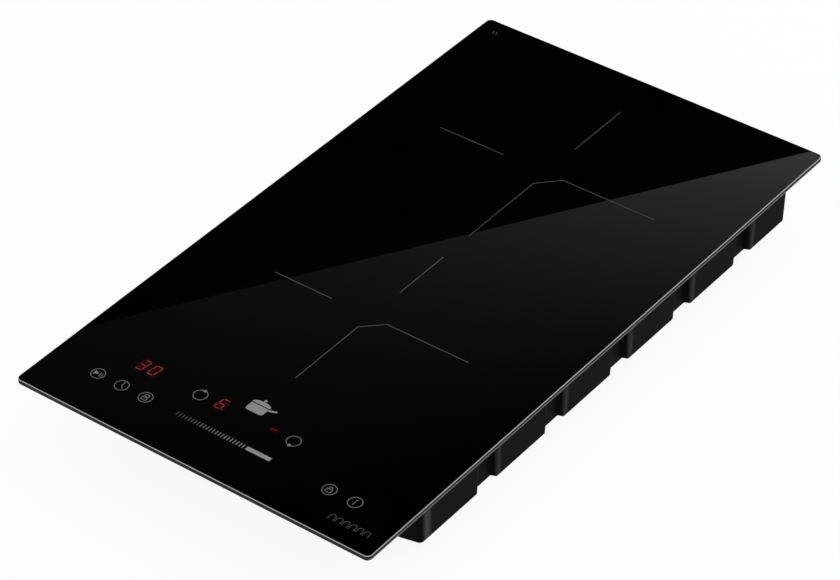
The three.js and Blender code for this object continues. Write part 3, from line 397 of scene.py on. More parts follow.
lathe(work, [
    (ring_middle + core_wide * x, choke_height / 2 + core_high * z) for x, z in (
        (1, -0.8), (1, 0.8), (0.75, 1), (-0.75, 1), (-1, 0.8), (-1, -0.8), (-0.75, -1), (0.75, -1),
    )
], CORE_STEPS, choke_centre)
new_piece("choke_core", work, ferrite, "ferrite", "mains_choke")
work = bmesh.new()
for bank in range(2):
    route = []
    for step in range(BANK_TURNS * TURN_STEPS + 1):
        share = step / (BANK_TURNS * TURN_STEPS)
        round_ring = math.radians(BANK_START + BANK_REACH * share + 180 * bank)
        round_core = 2 * math.pi * step / TURN_STEPS
        across, up = math.cos(round_core), math.sin(round_core)
        radius = ring_middle + half_wide * math.copysign(abs(across) ** SQUARENESS, across)
        height = choke_height / 2 + half_high * math.copysign(abs(up) ** SQUARENESS, up)
        route.append(choke_centre + Vector((
            radius * math.cos(round_ring), radius * math.sin(round_ring), height,
        )))
    tube(work, route, (WIRE / 2, WIRE / 2), 8)
new_piece("choke_winding", work, enamelled_copper, "copper_wire", "mains_choke")

# The suppression capacitor's box is yellow polyester, smooth and slightly glossy.
filter_polyester = moulded("yellow_polyester", "#be9622", "#d2ab2e", 0.42, 0.8, 0.015, IOR=1.57)
eased("filter_capacitor_box", "filter_capacitor", 0.4, filter_polyester, "filter_case")

# The fuse is a white ceramic tube between nickel-plated caps, in two spring clips.
CERAMIC_HALF = 7.2
fuse_finish, tree, shader, place = new_material("nickel_plate_and_ceramic")
across = add_node(tree, "SeparateXYZ", {0: place})["X"]
low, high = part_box("mains_fuse")
from_middle = add_node(tree, "Math", {0: across, 1: (low.x + high.x) / 2}, operation="SUBTRACT")[0]
from_middle = add_node(tree, "Math", {0: from_middle}, operation="ABSOLUTE")[0]
capped = add_node(tree, "Math", {0: from_middle, 1: CERAMIC_HALF * MM}, operation="GREATER_THAN")[0]
rub = add_node(tree, "TexNoise", {"Vector": place, "Scale": per_mm(2), "Detail": 4})["Fac"]
lay_on(tree, shader, rub, ("#c4c6c7", "#dcdedf"), (0.2, 0.35), 0.01)
glazed = add_node(tree, "Mix", {
    0: capped, 6: linear("#e9e7e1"), 7: linear("#cfd1d2"),
}, data_type="RGBA")[2]
tree.links.new(glazed, shader.inputs["Base Color"])
tree.links.new(capped, shader.inputs["Metallic"])
dress(fuse_finish, "mains_fuse")

# ------------------------ power board
# The inverter: two transistors and a bridge rectifier lie under a finned heatsink, beside film
# capacitors in resin-filled boxes, a sleeved electrolytic and a small switching transformer.


def drawn_metal(name, colours, roughness, line, detail, relief):
    """Bare metal with lines along Y, given as their width, length and depth in mm."""
    material, tree, shader, place = new_material(name, Metallic=1.0)
    along = add_node(tree, "Mapping", {
        "Vector": place, "Scale": tuple(per_mm(size) for size in line),
    })[0]
    lines = add_node(tree, "TexNoise", {"Vector": along, "Scale": 1, "Detail": detail})["Fac"]
    lay_on(tree, shader, lines, colours, roughness, relief)
    return material


# The die leaves fine lines along the fins, and they spread the shine across them.
extrusion = drawn_metal(
    "extruded_aluminium", ("#a4a6a9", "#c4c6c9"), (0.38, 0.5), (0.4, 60, 0.4), 2, 0.015,
)
eased("finned_heatsink", "heatsink", 0.3, extrusion, "extruded_aluminium")

# Moulding compound is a matt black epoxy with a very fine grain.
device_epoxy = moulded("black_epoxy", "#18181a", "#212124", 0.55, 0.3, 0.01, IOR=1.55)
for device in ("front_transistor", "back_transistor", "bridge_rectifier"):
    eased(f"{device}_body", device, 0.2, device_epoxy, "device_plastic")

# The film capacitors' ivory boxes are flame-proof polyester with a soft gloss.
capacitor_box = moulded("ivory_polyester", "#cfc8b2", "#ddd7c5", 0.45, 0.8, 0.015, IOR=1.57)
for capacitor in ("front_resonant_capacitor", "back_resonant_capacitor", "bus_capacitor"):
    eased(f"{capacitor}_box", capacitor, 0.4, capacitor_box, "capacitor_case")

eased("transformer_core", "supply_transformer", 0.3, ferrite, "ferrite")

# A shrunk sleeve covers the can, and leaves the pressed aluminium top bare inside its bead.
SLEEVE_BAND = 1.2
can_finish, tree, shader, place = new_material("pvc_sleeve_on_aluminium", IOR=1.54)
low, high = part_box("reservoir_capacitor")
offset = add_node(tree, "VectorMath", {
    0: place, 1: ((low.x + high.x) / 2, (low.y + high.y) / 2, 0),
}, operation="SUBTRACT")[0]
flat = add_node(tree, "VectorMath", {0: offset, 1: (1, 1, 0)}, operation="MULTIPLY")[0]
radius = add_node(tree, "VectorMath", {0: flat}, operation="LENGTH")["Value"]
inside = add_node(tree, "Math", {
    0: radius, 1: (high.x - low.x) / 2 - SLEEVE_BAND * MM,
}, operation="LESS_THAN")[0]
height = add_node(tree, "SeparateXYZ", {0: place})["Z"]
upper = add_node(tree, "Math", {0: height, 1: (low.z + high.z) / 2}, operation="GREATER_THAN")[0]
bare = add_node(tree, "Math", {0: inside, 1: upper}, operation="MULTIPLY")[0]
shrink = add_node(tree, "TexNoise", {"Vector": place, "Scale": per_mm(3), "Detail": 2})["Fac"]
sleeve = lay_on(tree, shader, shrink, ("#1d2233", "#2b3148"), (0.25, 0.4), 0.05)
can = add_node(tree, "Mix", {0: bare, 6: sleeve, 7: linear("#c8cacc")}, data_type="RGBA")[2]
tree.links.new(can, shader.inputs["Base Color"])
tree.links.new(bare, shader.inputs["Metallic"])
dress(can_finish, "reservoir_capacitor")

# ------------------------ cooling fan
# A centrifugal fan of glass-filled polyester: a flat scroll, its cover, and a ring of blades
# that turns over a small motor wound with copper.

# The glass fibre gives the dark polyester a faint grain and a half-matt skin.
fan_polyester = moulded("moulded_polyester", "#1b1c1f", "#27282b", 0.5, 0.6, 0.02, IOR=1.57)
eased("fan_scroll", "fan_housing", 0.3, fan_polyester, "fan_plastic")
eased("fan_lid", "fan_cover", 0.3, fan_polyester, "fan_plastic")
dress(fan_polyester, "fan_impeller")

# The motor's wire lies in level rows, which glint one by one.
MOTOR_WIRE = 0.4
motor_winding, tree, shader, place = new_material("wound_copper_wire", Metallic=1.0)
turns = add_node(tree, "TexWave", {
    "Vector": place, "Scale": per_mm(MOTOR_WIRE) / math.pi, "Distortion": 1.5, "Detail": 1,
}, bands_direction="Z")["Fac"]
lay_on(tree, shader, turns, ("#6e3a1c", "#b0693a"), (0.45, 0.25), 0.1)
dress(motor_winding, "fan_motor")

# ------------------------ coil plate
# A plate of mill-finish aluminium sheet that carries both coils and screens what is under it.
# Rolling leaves fine lines along the plate, and it is screwed to four posts in the case.

rolled_sheet = drawn_metal(
    "rolled_aluminium_sheet", ("#b4b6b9", "#d2d4d6"), (0.28, 0.42), (0.35, 40, 4), 3, 0.01,
)
dress(rolled_sheet, "coil_plate")

# A zinc-plated screw, rolled thread and all, with a cross recess punched in its domed head. The
# plating has a cloudy bloom, which dulls its shine in places.
HEAD_RADIUS = 3.4
HEAD_HEIGHT = 2
SHANK_RADIUS = 1.6
THREAD_DEPTH = 0.35
THREAD_PITCH = 1.3
POINT_LENGTH = 1.5
RECESS_REACH = 1.9
RECESS_HALF = 0.42
RECESS_DEPTH = 1.3
RECESS_EASE = 0.2
HEAD_CROWN = 0.07
HEAD_RINGS = (0.02, 0.2, 0.35, 0.5, 0.65, 0.8, 1, 1.2, 1.4, 1.6, 1.75, 1.9, 2.1, 2.4, 2.7)
AROUND = 48
zinc_plate = mottled(
    "zinc_plated_steel", ("#9c9fa3", "#c0c3c6"), (0.28, 0.45), 1.8, 4, 0.01, Metallic=1.0,
)


def recess(x, y):
    """How deep the cross recess is at a point of the head, from its sloping walls."""
    arm, across = max(abs(x), abs(y)), min(abs(x), abs(y))
    wall = min(RECESS_HALF - across, RECESS_REACH - arm)
    return RECESS_DEPTH * min(max(wall / RECESS_EASE + 0.5, 0), 1) * (1 - 0.5 * arm / RECESS_REACH)


def screw(name, node, seat, out):
    """A screw with its head's seat at a point, in mm, and its head facing one way out."""
    low, high = box_mm(node)
    length = max(high - low) - HEAD_HEIGHT
    profile = [(radius, None) for radius in HEAD_RINGS] + [
        (HEAD_RADIUS - 0.3, HEAD_HEIGHT * 0.75), (HEAD_RADIUS - 0.06, HEAD_HEIGHT / 2),
        (HEAD_RADIUS, HEAD_HEIGHT / 2 - 0.1), (HEAD_RADIUS, 0.08),
        (HEAD_RADIUS - 0.08, 0), (SHANK_RADIUS - THREAD_DEPTH, 0),
    ]
    rows = [[point] * AROUND for point in profile]
    z = -0.2
    while z > -length:
        row = []
        for step in range(AROUND):
            phase = (z / THREAD_PITCH + step / AROUND) % 1
            crest = max(0, 1 - abs(phase - 0.5) * 3.2)
            taper = min(1, (length + z) / POINT_LENGTH)
            row.append(((SHANK_RADIUS - THREAD_DEPTH * (1 - crest)) * (0.3 + 0.7 * taper), z))
        rows.append(row)
        z -= THREAD_PITCH / 8
    rows.append([(0.3, -length)] * AROUND)
    turn = out.to_track_quat("Z", "Y")
    work = bmesh.new()
    made = []
    for row in rows:
        verts = []
        for step, (radius, height) in enumerate(row):
            x = radius * math.cos(2 * math.pi * step / AROUND)
            y = radius * math.sin(2 * math.pi * step / AROUND)
            if height is None:
                height = HEAD_HEIGHT - HEAD_CROWN * radius ** 2 - recess(x, y)
            verts.append(work.verts.new((seat + turn @ Vector((x, y, height))) * MM))
        made.append(verts)
    skin_over(work, made[::-1])
    new_piece(name, work, zinc_plate, "screw_steel", node)


for end in ("front", "back"):
    for side in ("left", "right"):
        node = f"plate_screw_{end}_{side}"
        low, high = box_mm(node)
        seat = Vector(((low.x + high.x) / 2, (low.y + high.y) / 2, high.z - HEAD_HEIGHT))
        screw(f"plate_fixing_{end}_{side}", node, seat, Vector((0, 0, 1)))

# ------------------------ coils
# Two flat spirals of litz wire lie in glass-filled polyester formers, over four ferrite bars
# that gather the field. A mica disc covers each, and a silicone-capped sensor stands in its eye.

# Glass fibre makes the formers a matt, brownish black. The sensors' caps are soft white silicone.
former_polyester = moulded(
    "glass_filled_polyester", "#262522", "#33322e", 0.62, 0.7, 0.03, IOR=1.57,
)
sensor_silicone = moulded("white_silicone", "#dcd8cf", "#e9e5dd", 0.6, 1.2, 0.01, IOR=1.41)

# Mica sheet is bonded from flakes, which show as pale scales of a few millimetres.
FLAKE = 5
mica, tree, shader, place = new_material("bonded_mica", IOR=1.58)
flakes = add_node(tree, "TexVoronoi", {
    "Vector": place, "Scale": per_mm(FLAKE), "Detail": 2, "Roughness": 0.6,
}, feature="F1", voronoi_dimensions="2D")["Color"]
shade = add_node(tree, "SeparateColor", {0: flakes})["Red"]
lay_on(tree, shader, shade, ("#bfb394", "#d9cfb4"), (0.3, 0.5), 0.01)

# Litz wire is hundreds of fine enamelled strands, drawn here as a few dozen along each turn.
STRAND = 0.3
LAY_LENGTH = 9
LITZ_WIDTH = 3.4
LITZ_HEIGHT = 3.7
LITZ_LIFT = 0.05
LAY_ANGLE = 14
COIL_EYE = 22
SPIRAL_STEPS = 72


def litz_wire(zone, centre):
    """Copper litz for one coil: its strands follow the turns about the coil's centre."""
    material, tree, shader, place = new_material(f"{zone}_litz_copper", Metallic=0.85)
    local = add_node(tree, "VectorMath", {0: place, 1: centre * MM}, operation="SUBTRACT")[0]
    axes = add_node(tree, "SeparateXYZ", {0: local})
    radius = add_node(tree, "VectorMath", {0: local}, operation="LENGTH")["Value"]
    turn = add_node(tree, "Math", {0: axes["Y"], 1: axes["X"]}, operation="ARCTAN2")[0]
    along = add_node(tree, "Math", {0: turn, 1: radius}, operation="MULTIPLY")[0]
    unrolled = add_node(tree, "CombineXYZ", {"X": radius, "Y": along, "Z": axes["Z"]})[0]
    drawn = add_node(tree, "Mapping", {
        "Vector": unrolled, "Rotation": (0, 0, math.radians(LAY_ANGLE)),
        "Scale": (per_mm(STRAND), per_mm(LAY_LENGTH), per_mm(STRAND)),
    })[0]
    strands = add_node(tree, "TexNoise", {"Vector": drawn, "Scale": 1, "Detail": 1})["Fac"]
    lay_on(tree, shader, strands, ("#74381a", "#c27a48"), (0.5, 0.3), 0.12)
    return material


for zone in ("front", "back"):
    low, high = box_mm(f"{zone}_coil_winding")
    middle = Vector((0, (low.y + high.y) / 2, low.z))
    outer = (high.x - low.x) / 2
    turns = math.floor((outer - COIL_EYE) / LITZ_WIDTH) - 1
    pitch = (outer - COIL_EYE - LITZ_WIDTH) / turns
    route = []
    for step in range(turns * SPIRAL_STEPS + 1):
        angle = 2 * math.pi * step / SPIRAL_STEPS
        radius = COIL_EYE + LITZ_WIDTH / 2 + pitch * step / SPIRAL_STEPS
        route.append(middle + Vector((
            radius * math.cos(angle), radius * math.sin(angle), LITZ_HEIGHT / 2 + LITZ_LIFT,
        )))
    work = bmesh.new()
    tube(work, route, (LITZ_WIDTH / 2, LITZ_HEIGHT / 2), 12)
    new_piece(
        f"{zone}_litz_spiral", work, litz_wire(zone, middle), "copper_wire", f"{zone}_coil_winding",
    )
    eased(f"{zone}_former_tray", f"{zone}_coil_former", 0.4, former_polyester, "former_plastic")
    eased(f"{zone}_sensor_cap", f"{zone}_heat_sensor", 0.3, sensor_silicone, "sensor_silicone")
    dress(mica, f"{zone}_mica_disc")
    for bar in range(1, 5):
        eased(f"{zone}_ferrite_bar_{bar}", f"{zone}_ferrite_{bar}", 0.5, ferrite, "ferrite")

# ------------------------ controls
# An ABS holder presses the touch board up to the glass. The control board under it carries the
# red figures and the buzzer, and a flat cable takes it to the power board.

# The ABS is white with an even texture, the displays are cast in dark, glossy red resin, and
# the buzzer's can is half-glossy black PBT.
holder_abs = moulded("white_abs", "#cfcfc9", "#dcdcd7", 0.5, 0.8, 0.02, IOR=1.54)
eased("touch_holder", "control_holder", 0.4, holder_abs, "holder_plastic")
display_lens = moulded("red_display_resin", "#5a0f0c", "#7a1612", 0.25, 1.5, 0.005, IOR=1.52)
for display in ("timer_display", "left_zone_display", "right_zone_display"):
    eased(f"{display}_block", display, 0.3, display_lens, "display_lens")
buzzer_pbt = moulded("black_pbt", "#101011", "#19191b", 0.4, 0.5, 0.01, IOR=1.55)
eased("buzzer_can", "buzzer", 0.4, buzzer_pbt, "device_plastic")

# The ribbon's grey PVC rises over each of its conductors.
CONDUCTOR_PITCH = 1.27
ribbon_pvc, tree, shader, place = new_material("grey_pvc_ribbon", IOR=1.54)
cores = add_node(tree, "TexWave", {
    "Vector": place, "Scale": per_mm(CONDUCTOR_PITCH) / math.pi / 2, "Detail": 0,
}, bands_direction="X")["Fac"]
lay_on(tree, shader, cores, ("#8f9194", "#c4c5c7"), (0.5, 0.38), 0.5)
dress(ribbon_pvc, "control_cable")

# ------------------------ top frame
# A ring of hot-dip galvanised steel sheet with four tabs bent down. Black silicone bonds it to
# the glass, and the case is screwed to its tabs through the side recesses.

# The zinc sets in spangles, and each crystal has its own shade. They are drawn at full size.
SPANGLE = 9
galvanised, tree, shader, place = new_material("galvanised_sheet", Metallic=1.0)
crystals = add_node(tree, "TexVoronoi", {
    "Vector": place, "Scale": per_mm(SPANGLE), "Detail": 1, "Roughness": 0.4,
}, feature="F1")["Color"]
shade = add_node(tree, "SeparateColor", {0: crystals})["Red"]
lay_on(tree, shader, shade, ("#8d9194", "#b5b8bb"), (0.32, 0.5), 0.004)
dress(galvanised, "top_frame")

# Cured silicone is black, soft and slightly wavy.
silicone = moulded("black_silicone", "#161616", "#222222", 0.45, 2.5, 0.05, IOR=1.41)
dress(silicone, "glass_adhesive")

for end in ("front", "back"):
    for side, out in (("left", -1), ("right", 1)):
        node = f"case_screw_{end}_{side}"
        low, high = box_mm(node)
        head_x = low.x + HEAD_HEIGHT if out < 0 else high.x - HEAD_HEIGHT
        seat = Vector((head_x, (low.y + high.y) / 2, (low.z + high.z) / 2))
        screw(f"case_fixing_{end}_{side}", node, seat, Vector((out, 0, 0)))

# ------------------------ worktop seal
# Closed-cell foam tape, stuck under the rim of the glass, keeps spills out of the cut-out. It is
# a matt dark grey, finely pitted where its cells are cut.

CELL = 0.6
seal_foam, tree, shader, place = new_material("closed_cell_foam", IOR=1.5, Specular_IOR_Level=0.2)
cells = add_node(tree, "TexVoronoi", {
    "Vector": place, "Scale": per_mm(CELL), "Smoothness": 0.4,
}, feature="SMOOTH_F1")["Distance"]
lay_on(tree, shader, cells, ("#3a3a3a", "#242424"), (0.95, 0.8), 0.2)
dress(seal_foam, "worktop_seal")

# ------------------------ glass panel
# Black ceramic glass, 4 mm thick, bonded to the frame. Its faces are polished and its edge is
# cut. Both arrises are ground to a matt grey. On the long sides a grey band above the lower one is
# a painted highlight, a line of light along the cut edge. The top lies a hair under the enamel on
# it.

PRINT_THICKNESS = 0.02
GLASS_CORNER = 4.0
UPPER_ARRIS = 0.55
LOWER_ARRIS = 0.9
GROUND_HEIGHT = 1.45
CORNER_STEPS = 16
ARRIS_STEPS = 8
GRIT = 0.4
LONG_SIDE = 0.7

glass, tree, shader, place = new_material("black_ceramic_glass", IOR=1.52)
haze = add_node(tree, "TexNoise", {"Vector": place, "Scale": per_mm(60), "Detail": 4})["Fac"]
polish = lay_on(tree, shader, haze, ("#010101", "#030303"), (0.0, 0.012), 0)
facing = add_node(tree, "SeparateXYZ", {0: tree.nodes["Texture Coordinate"].outputs["Normal"]})
steep = add_node(tree, "Math", {0: facing["Z"]}, operation="ABSOLUTE")[0]
cut_edge = add_node(tree, "MapRange", {
    "Value": steep, "From Min": 0.99, "From Max": 0.96,
})["Result"]
ground = add_node(tree, "MapRange", {
    "Value": steep, "From Min": 0.1, "From Max": 0.4,
}, interpolation_type="SMOOTHSTEP")["Result"]
grit = add_node(tree, "TexNoise", {"Vector": place, "Scale": per_mm(GRIT), "Detail": 2})["Fac"]
grit = add_node(tree, "MapRange", {"Value": grit, "To Min": 0.85, "To Max": 1})["Result"]
spot = add_node(tree, "SeparateXYZ", {0: place})["Z"]
ground_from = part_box("glass_panel")[0].z + GROUND_HEIGHT * MM
lower = add_node(tree, "Math", {0: spot, 1: ground_from}, operation="LESS_THAN")[0]
# On the long sides the grey band above the lower arris is a painted highlight.
sideways = add_node(tree, "Math", {0: facing["X"]}, operation="ABSOLUTE")[0]
long_side = add_node(tree, "Math", {0: sideways, 1: LONG_SIDE}, operation="GREATER_THAN")[0]
painted_side_line = add_node(tree, "Math", {0: lower, 1: long_side}, operation="MULTIPLY")[0]
ground = add_node(tree, "Math", {0: ground, 1: painted_side_line}, operation="MAXIMUM")[0]
ground = add_node(tree, "Math", {0: ground, 1: grit}, operation="MULTIPLY")[0]
ground_tone = add_node(tree, "Mix", {
    0: lower, 6: linear("#b4b4b4"), 7: linear("#767676"),
}, data_type="RGBA")[2]
edge_tone = add_node(tree, "Mix", {
    0: ground, 6: linear("#0a0a0a"), 7: ground_tone,
}, data_type="RGBA")[2]
glass_tone = add_node(tree, "Mix", {0: cut_edge, 6: polish, 7: edge_tone}, data_type="RGBA")[2]
tree.links.new(glass_tone, shader.inputs["Base Color"])
edge_gloss = add_node(tree, "MapRange", {
    "Value": cut_edge, "To Min": 0.006, "To Max": 0.85,
})["Result"]
tree.links.new(edge_gloss, shader.inputs["Roughness"])

# Light from the figures scatters in the glass, as a faint red spill round each. A spill has its
# place across the glass, and its reach across and along it.
FIGURE_ROW = -200.2
SPILLS = ((-86.7, 5.4, 7.4), (-76.9, 5.4, 7.4), (-20.4, 5.0, 7.2), (22.65, 4.0, 2.6))
spill = 0.0
for x, across, along in SPILLS:
    offset = add_node(tree, "VectorMath", {
        0: place, 1: Vector((x, FIGURE_ROW, 0)) * MM,
    }, operation="SUBTRACT")[0]
    scaled = add_node(tree, "VectorMath", {
        0: offset, 1: (per_mm(across), per_mm(along), 0),
    }, operation="MULTIPLY")[0]
    away = add_node(tree, "VectorMath", {0: scaled}, operation="LENGTH")["Value"]
    falling = add_node(tree, "MapRange", {
        "Value": away, "From Min": 1.3, "From Max": 0.2,
    }, interpolation_type="SMOOTHERSTEP")["Result"]
    spill = add_node(tree, "Math", {0: spill, 1: falling}, operation="MAXIMUM")[0]
red_spill = add_node(tree, "Mix", {
    0: spill, 6: linear("#000000"), 7: linear("#2c0104"),
}, data_type="RGBA")[2]
tree.links.new(red_spill, shader.inputs["Emission Color"])
shader.inputs["Emission Strength"].default_value = 1.0


def rounded_outline(half_x, half_y, radius, steps):
    """A rounded rectangle about the centre, in mm, going round anticlockwise."""
    outline = []
    for corner in range(4):
        middle_x = (half_x - radius) * (1 if corner in (0, 3) else -1)
        middle_y = (half_y - radius) * (1 if corner in (0, 1) else -1)
        for step in range(steps + 1):
            angle = math.radians(90) * (corner + step / steps)
            x = middle_x + radius * math.cos(angle)
            outline.append((x, middle_y + radius * math.sin(angle)))
    return outline


low, high = box_mm("glass_panel")
enamel_top = high.z
glass_top = enamel_top - PRINT_THICKNESS
turns = [math.radians(90) * step / ARRIS_STEPS for step in range(ARRIS_STEPS + 1)]
levels = [
    (LOWER_ARRIS * (1 - math.sin(turn)), low.z + LOWER_ARRIS * (1 - math.cos(turn)))
    for turn in turns
] + [
    (UPPER_ARRIS * (1 - math.cos(turn)), glass_top - UPPER_ARRIS * (1 - math.sin(turn)))
    for turn in turns
]
work = bmesh.new()
rings = []
for inset, z in levels:
    outline = rounded_outline(high.x - inset, high.y - inset, GLASS_CORNER - inset, CORNER_STEPS)
    rings.append([work.verts.new(Vector((x, y, z)) * MM) for x, y in outline])
skin_over(work, rings)
new_piece("glass_plate", work, glass, "black_glass", "glass_panel")

# ------------------------ printed marks
# Grey ceramic enamel, screen printed on the face and fired. It stands a few hundredths proud
# and is matt against the polish of the glass.

ENAMEL_GRIT = 0.25
DOT_STEPS = 12


def enamel(name, dark, light):
    """Fired enamel of one shade. Its grit keeps it matt."""
    return mottled(
        name, (dark, light), (0.5, 0.7), ENAMEL_GRIT, 2, 0.005, IOR=1.5, Specular_IOR_Level=0.2,
    )


def stroke(points, width, closed=False):
    """A line of even width through these points, as matching points on its two sides."""
    count = len(points)
    pairs = []
    for place, (x, y) in enumerate(points):
        before = points[place - 1] if closed or place else None
        after = points[(place + 1) % count] if closed or place + 1 < count else None
        ways = []
        if before:
            ways.append(Vector((x - before[0], y - before[1])).normalized())
        if after:
            ways.append(Vector((after[0] - x, after[1] - y)).normalized())
        way = sum(ways, Vector((0, 0))).normalized()
        across = Vector((-way.y, way.x)) * width / 2 / max(0.5, way.dot(ways[0]))
        pairs.append(((x + across.x, y + across.y), (x - across.x, y - across.y)))
    return pairs, closed


def circle(x, y, radius, start=0, end=360, steps=48):
    """Points round a circle or an arc, in degrees from +X."""
    turns = [math.radians(start + (end - start) * step / steps) for step in range(steps + 1)]
    points = [(x + radius * math.cos(turn), y + radius * math.sin(turn)) for turn in turns]
    return points[:-1] if end - start == 360 else points


def ring(x, y, outer, width):
    """A closed circle of even line width, by its outer radius."""
    return stroke(circle(x, y, outer - width / 2), width, closed=True)


def dot(x, y, radius):
    """A filled circle, as a strip from its left to its right."""
    turns = [math.pi * step / DOT_STEPS for step in range(DOT_STEPS + 1)]
    return [
        ((x - radius * math.cos(turn), y + radius * math.sin(turn)),
         (x - radius * math.cos(turn), y - radius * math.sin(turn))) for turn in turns
    ], False


def printed(name, strips, material, slot="black_glass"):
    """Flat raised shapes on the glass. Each is a strip between two rows of points, in mm."""
    work = bmesh.new()
    for pairs, closed in strips:
        rows = [
            [work.verts.new(Vector((x, y, z)) * MM) for (x, y), z in (
                (left, enamel_top), (right, enamel_top), (right, glass_top), (left, glass_top),
            )] for left, right in pairs
        ]
        skin_over(work, rows, closed, smooth=False)
    bmesh.ops.remove_doubles(work, verts=work.verts, dist=0.001 * MM)
    bmesh.ops.recalc_face_normals(work, faces=work.faces)
    new_piece(name, work, material, slot)


# Each zone has two short bars and one bent line that turns round its centre.
BACK_ZONE_LINE = 0.42
FRONT_ZONE_LINE = 0.52
zone_enamel = enamel("grey_zone_enamel", "#4c4c4c", "#5c5c5c")
printed("back_zone_marks", [
    stroke([(-90.9, 127.6), (-35.8, 127.6)], BACK_ZONE_LINE),
    stroke([(0.9, 163.1), (0.9, 218.6)], BACK_ZONE_LINE),
    stroke([(91.9, 127.6), (15.6, 127.6), (0.9, 112.6), (0.9, 38.1)], BACK_ZONE_LINE),
], zone_enamel)
printed("front_zone_marks", [
    stroke([(-80.1, -72.2), (-31.4, -72.2)], FRONT_ZONE_LINE),
    stroke([(1.0, -40.0), (1.0, 8.2)], FRONT_ZONE_LINE),
    stroke([(81.9, -72.2), (14.7, -72.2), (1.0, -85.7), (1.0, -151.6)], FRONT_ZONE_LINE),
], zone_enamel)

# The keys are circles with a pictogram in each.
KEY_RADIUS = 5.05
KEY_LINE = 0.37
KEY_ROW = -224.45
ICON_LINE = 0.38
key_enamel = enamel("light_grey_key_enamel", "#747474", "#888888")


def key(name, x, icon):
    """One touch key: its circle, with the strips of a pictogram in it."""
    printed(name, [ring(x, KEY_ROW, KEY_RADIUS, KEY_LINE), *icon], key_enamel)


def triangle(x0, x1, y, half):
    """A filled triangle that points right, from its back to its tip."""
    return [((x0, y + half), (x0, y - half)), ((x1, y), (x1, y))], False


def frame_of(x0, x1, y0, y1):
    """The outline of a rectangle, by its sides."""
    return stroke([(x0, y0), (x1, y0), (x1, y1), (x0, y1)], ICON_LINE, closed=True)


key("pause_key_mark", -104.9, [
    triangle(-107.9, -104.4, KEY_ROW, 2.0),
    stroke([(-103.1, KEY_ROW - 1.8), (-103.5, KEY_ROW + 1.8)], ICON_LINE),
    stroke([(-101.7, KEY_ROW - 1.8), (-102.1, KEY_ROW + 1.8)], ICON_LINE),
])
key("timer_key_mark", -84.7, [
    stroke([(-84.7, -220.7), (-84.7, KEY_ROW), (-82.2, -226.9)], ICON_LINE),
])
key("boost_key_mark", -64.4, [
    frame_of(-66.3, -62.5, -227.1, -224.7), frame_of(-65.9, -62.9, -223.9, -221.7),
])
key("lock_key_mark", 86.65, [
    frame_of(84.7, 88.7, -226.9, -223.9),
    stroke([(85.5, -223.9), *circle(86.7, -223.1, 1.2, 180, 0, 12), (87.9, -223.9)], ICON_LINE),
])
key("power_key_mark", 106.9, [
    stroke([(106.8, -227.0), (106.8, -222.4), (107.6, -221.6)], ICON_LINE),
])

# A ring with a bead on it picks each zone: the back one on the left, the front one on the right.
SELECTOR_ROW = -201.5
for zone, x, way in (("back", -37.5, 1), ("front", 39.5, -1)):
    printed(f"{zone}_zone_selector", [
        ring(x, SELECTOR_ROW, KEY_RADIUS, KEY_LINE),
        dot(x, SELECTOR_ROW + way * (KEY_RADIUS - 0.3), 1.2),
    ], key_enamel)

# The power slider: a row of ticks that grows brighter to the right, and a bar at full power.
TICKS = 23
TICK_PITCH = 2.478
TICK_WIDTH = 0.58
TICK_START = -37.5
TICK_SPAN = (-226.15, -222.35)
SHADES = ("#474747", "#5c5c5c", "#6c6c6c", "#7a7a7a", "#888888", "#909090")
ticks_per_shade = math.ceil(TICKS / len(SHADES))
for group, shade in enumerate(SHADES):
    ticks = range(group * ticks_per_shade, min(TICKS, (group + 1) * ticks_per_shade))
    lines = [
        stroke([(TICK_START + tick * TICK_PITCH, y) for y in TICK_SPAN], TICK_WIDTH)
        for tick in ticks
    ]
    printed(f"slider_ticks_{group + 1}", lines, enamel(f"slider_enamel_{group + 1}", shade, shade))
bar_enamel = enamel("light_grey_bar_enamel", "#7e7e7e", "#929292")
printed("slider_bar", [stroke([(19.5, -224.4), (39.2, -224.4)], 3.4)], bar_enamel)

# A saucepan pictogram stands between the two figures, and a row of coil loops, the usual sign
# for induction, near the front right corner.
pan_x, pan_y = 0.5, -187.5
body = []
lid = []
for step in range(25):
    share = -1 + step / 12
    round_off = 2.2 * (1 - math.sqrt(1 - max(0, abs(share) * 7 - 4.8) ** 2 / 2.2 ** 2 * 0.999))
    body.append(((pan_x + 7 * share, pan_y + 0.6), (pan_x + 7 * share, pan_y - 7.2 + round_off)))
    arch = 3.1 * math.sqrt(1 - share * share)
    lid.append(((pan_x + 7.4 * share, pan_y + 1.8 + arch), (pan_x + 7.4 * share, pan_y + 1.4)))
printed("saucepan_mark", [
    (body, False), (lid, False), dot(pan_x, pan_y + 6.2, 1.1),
    stroke([(pan_x + 7.3, pan_y - 0.4), (pan_x + 13, pan_y + 1.6)], 1.6),
], bar_enamel)
loops = []
for loop in range(6):
    x = 104 + 5.4 * loop
    loops.append(stroke([(x - 2, -246.2), *circle(x, -243, 2, 180, 0, 16), (x + 2, -246.2)], 0.42))
dim_enamel = enamel("dim_grey_enamel", "#484848", "#565656")
printed("coil_loops_mark", loops, dim_enamel)

# Two rising waves near the back left corner are the usual sign for a hot surface.
WAVE = (0.35, 0.5, 0.2, -0.25, -0.5, -0.3)
printed("hot_surface_mark", [
    stroke([(x + sway, 245 + 0.8 * step) for step, sway in enumerate(WAVE)], 0.5)
    for x in (-131.8, -129.3)
], dim_enamel)

# ------------------------ lit digits
# Red light-emitting segments under the glass. They show on its face as slanted figures, with a
# faint red spill around them where the light scatters in the glass.

DIGIT_HEIGHT = 9.6
DIGIT_WIDTH = 5.0
SEGMENT = 0.8
SEGMENT_GAP = 0.25
DIGIT_SLANT = math.tan(math.radians(8))
SEGMENTS = {"3": "abcdg", "0": "abcdef", "6": "acdefg", "-": "g"}

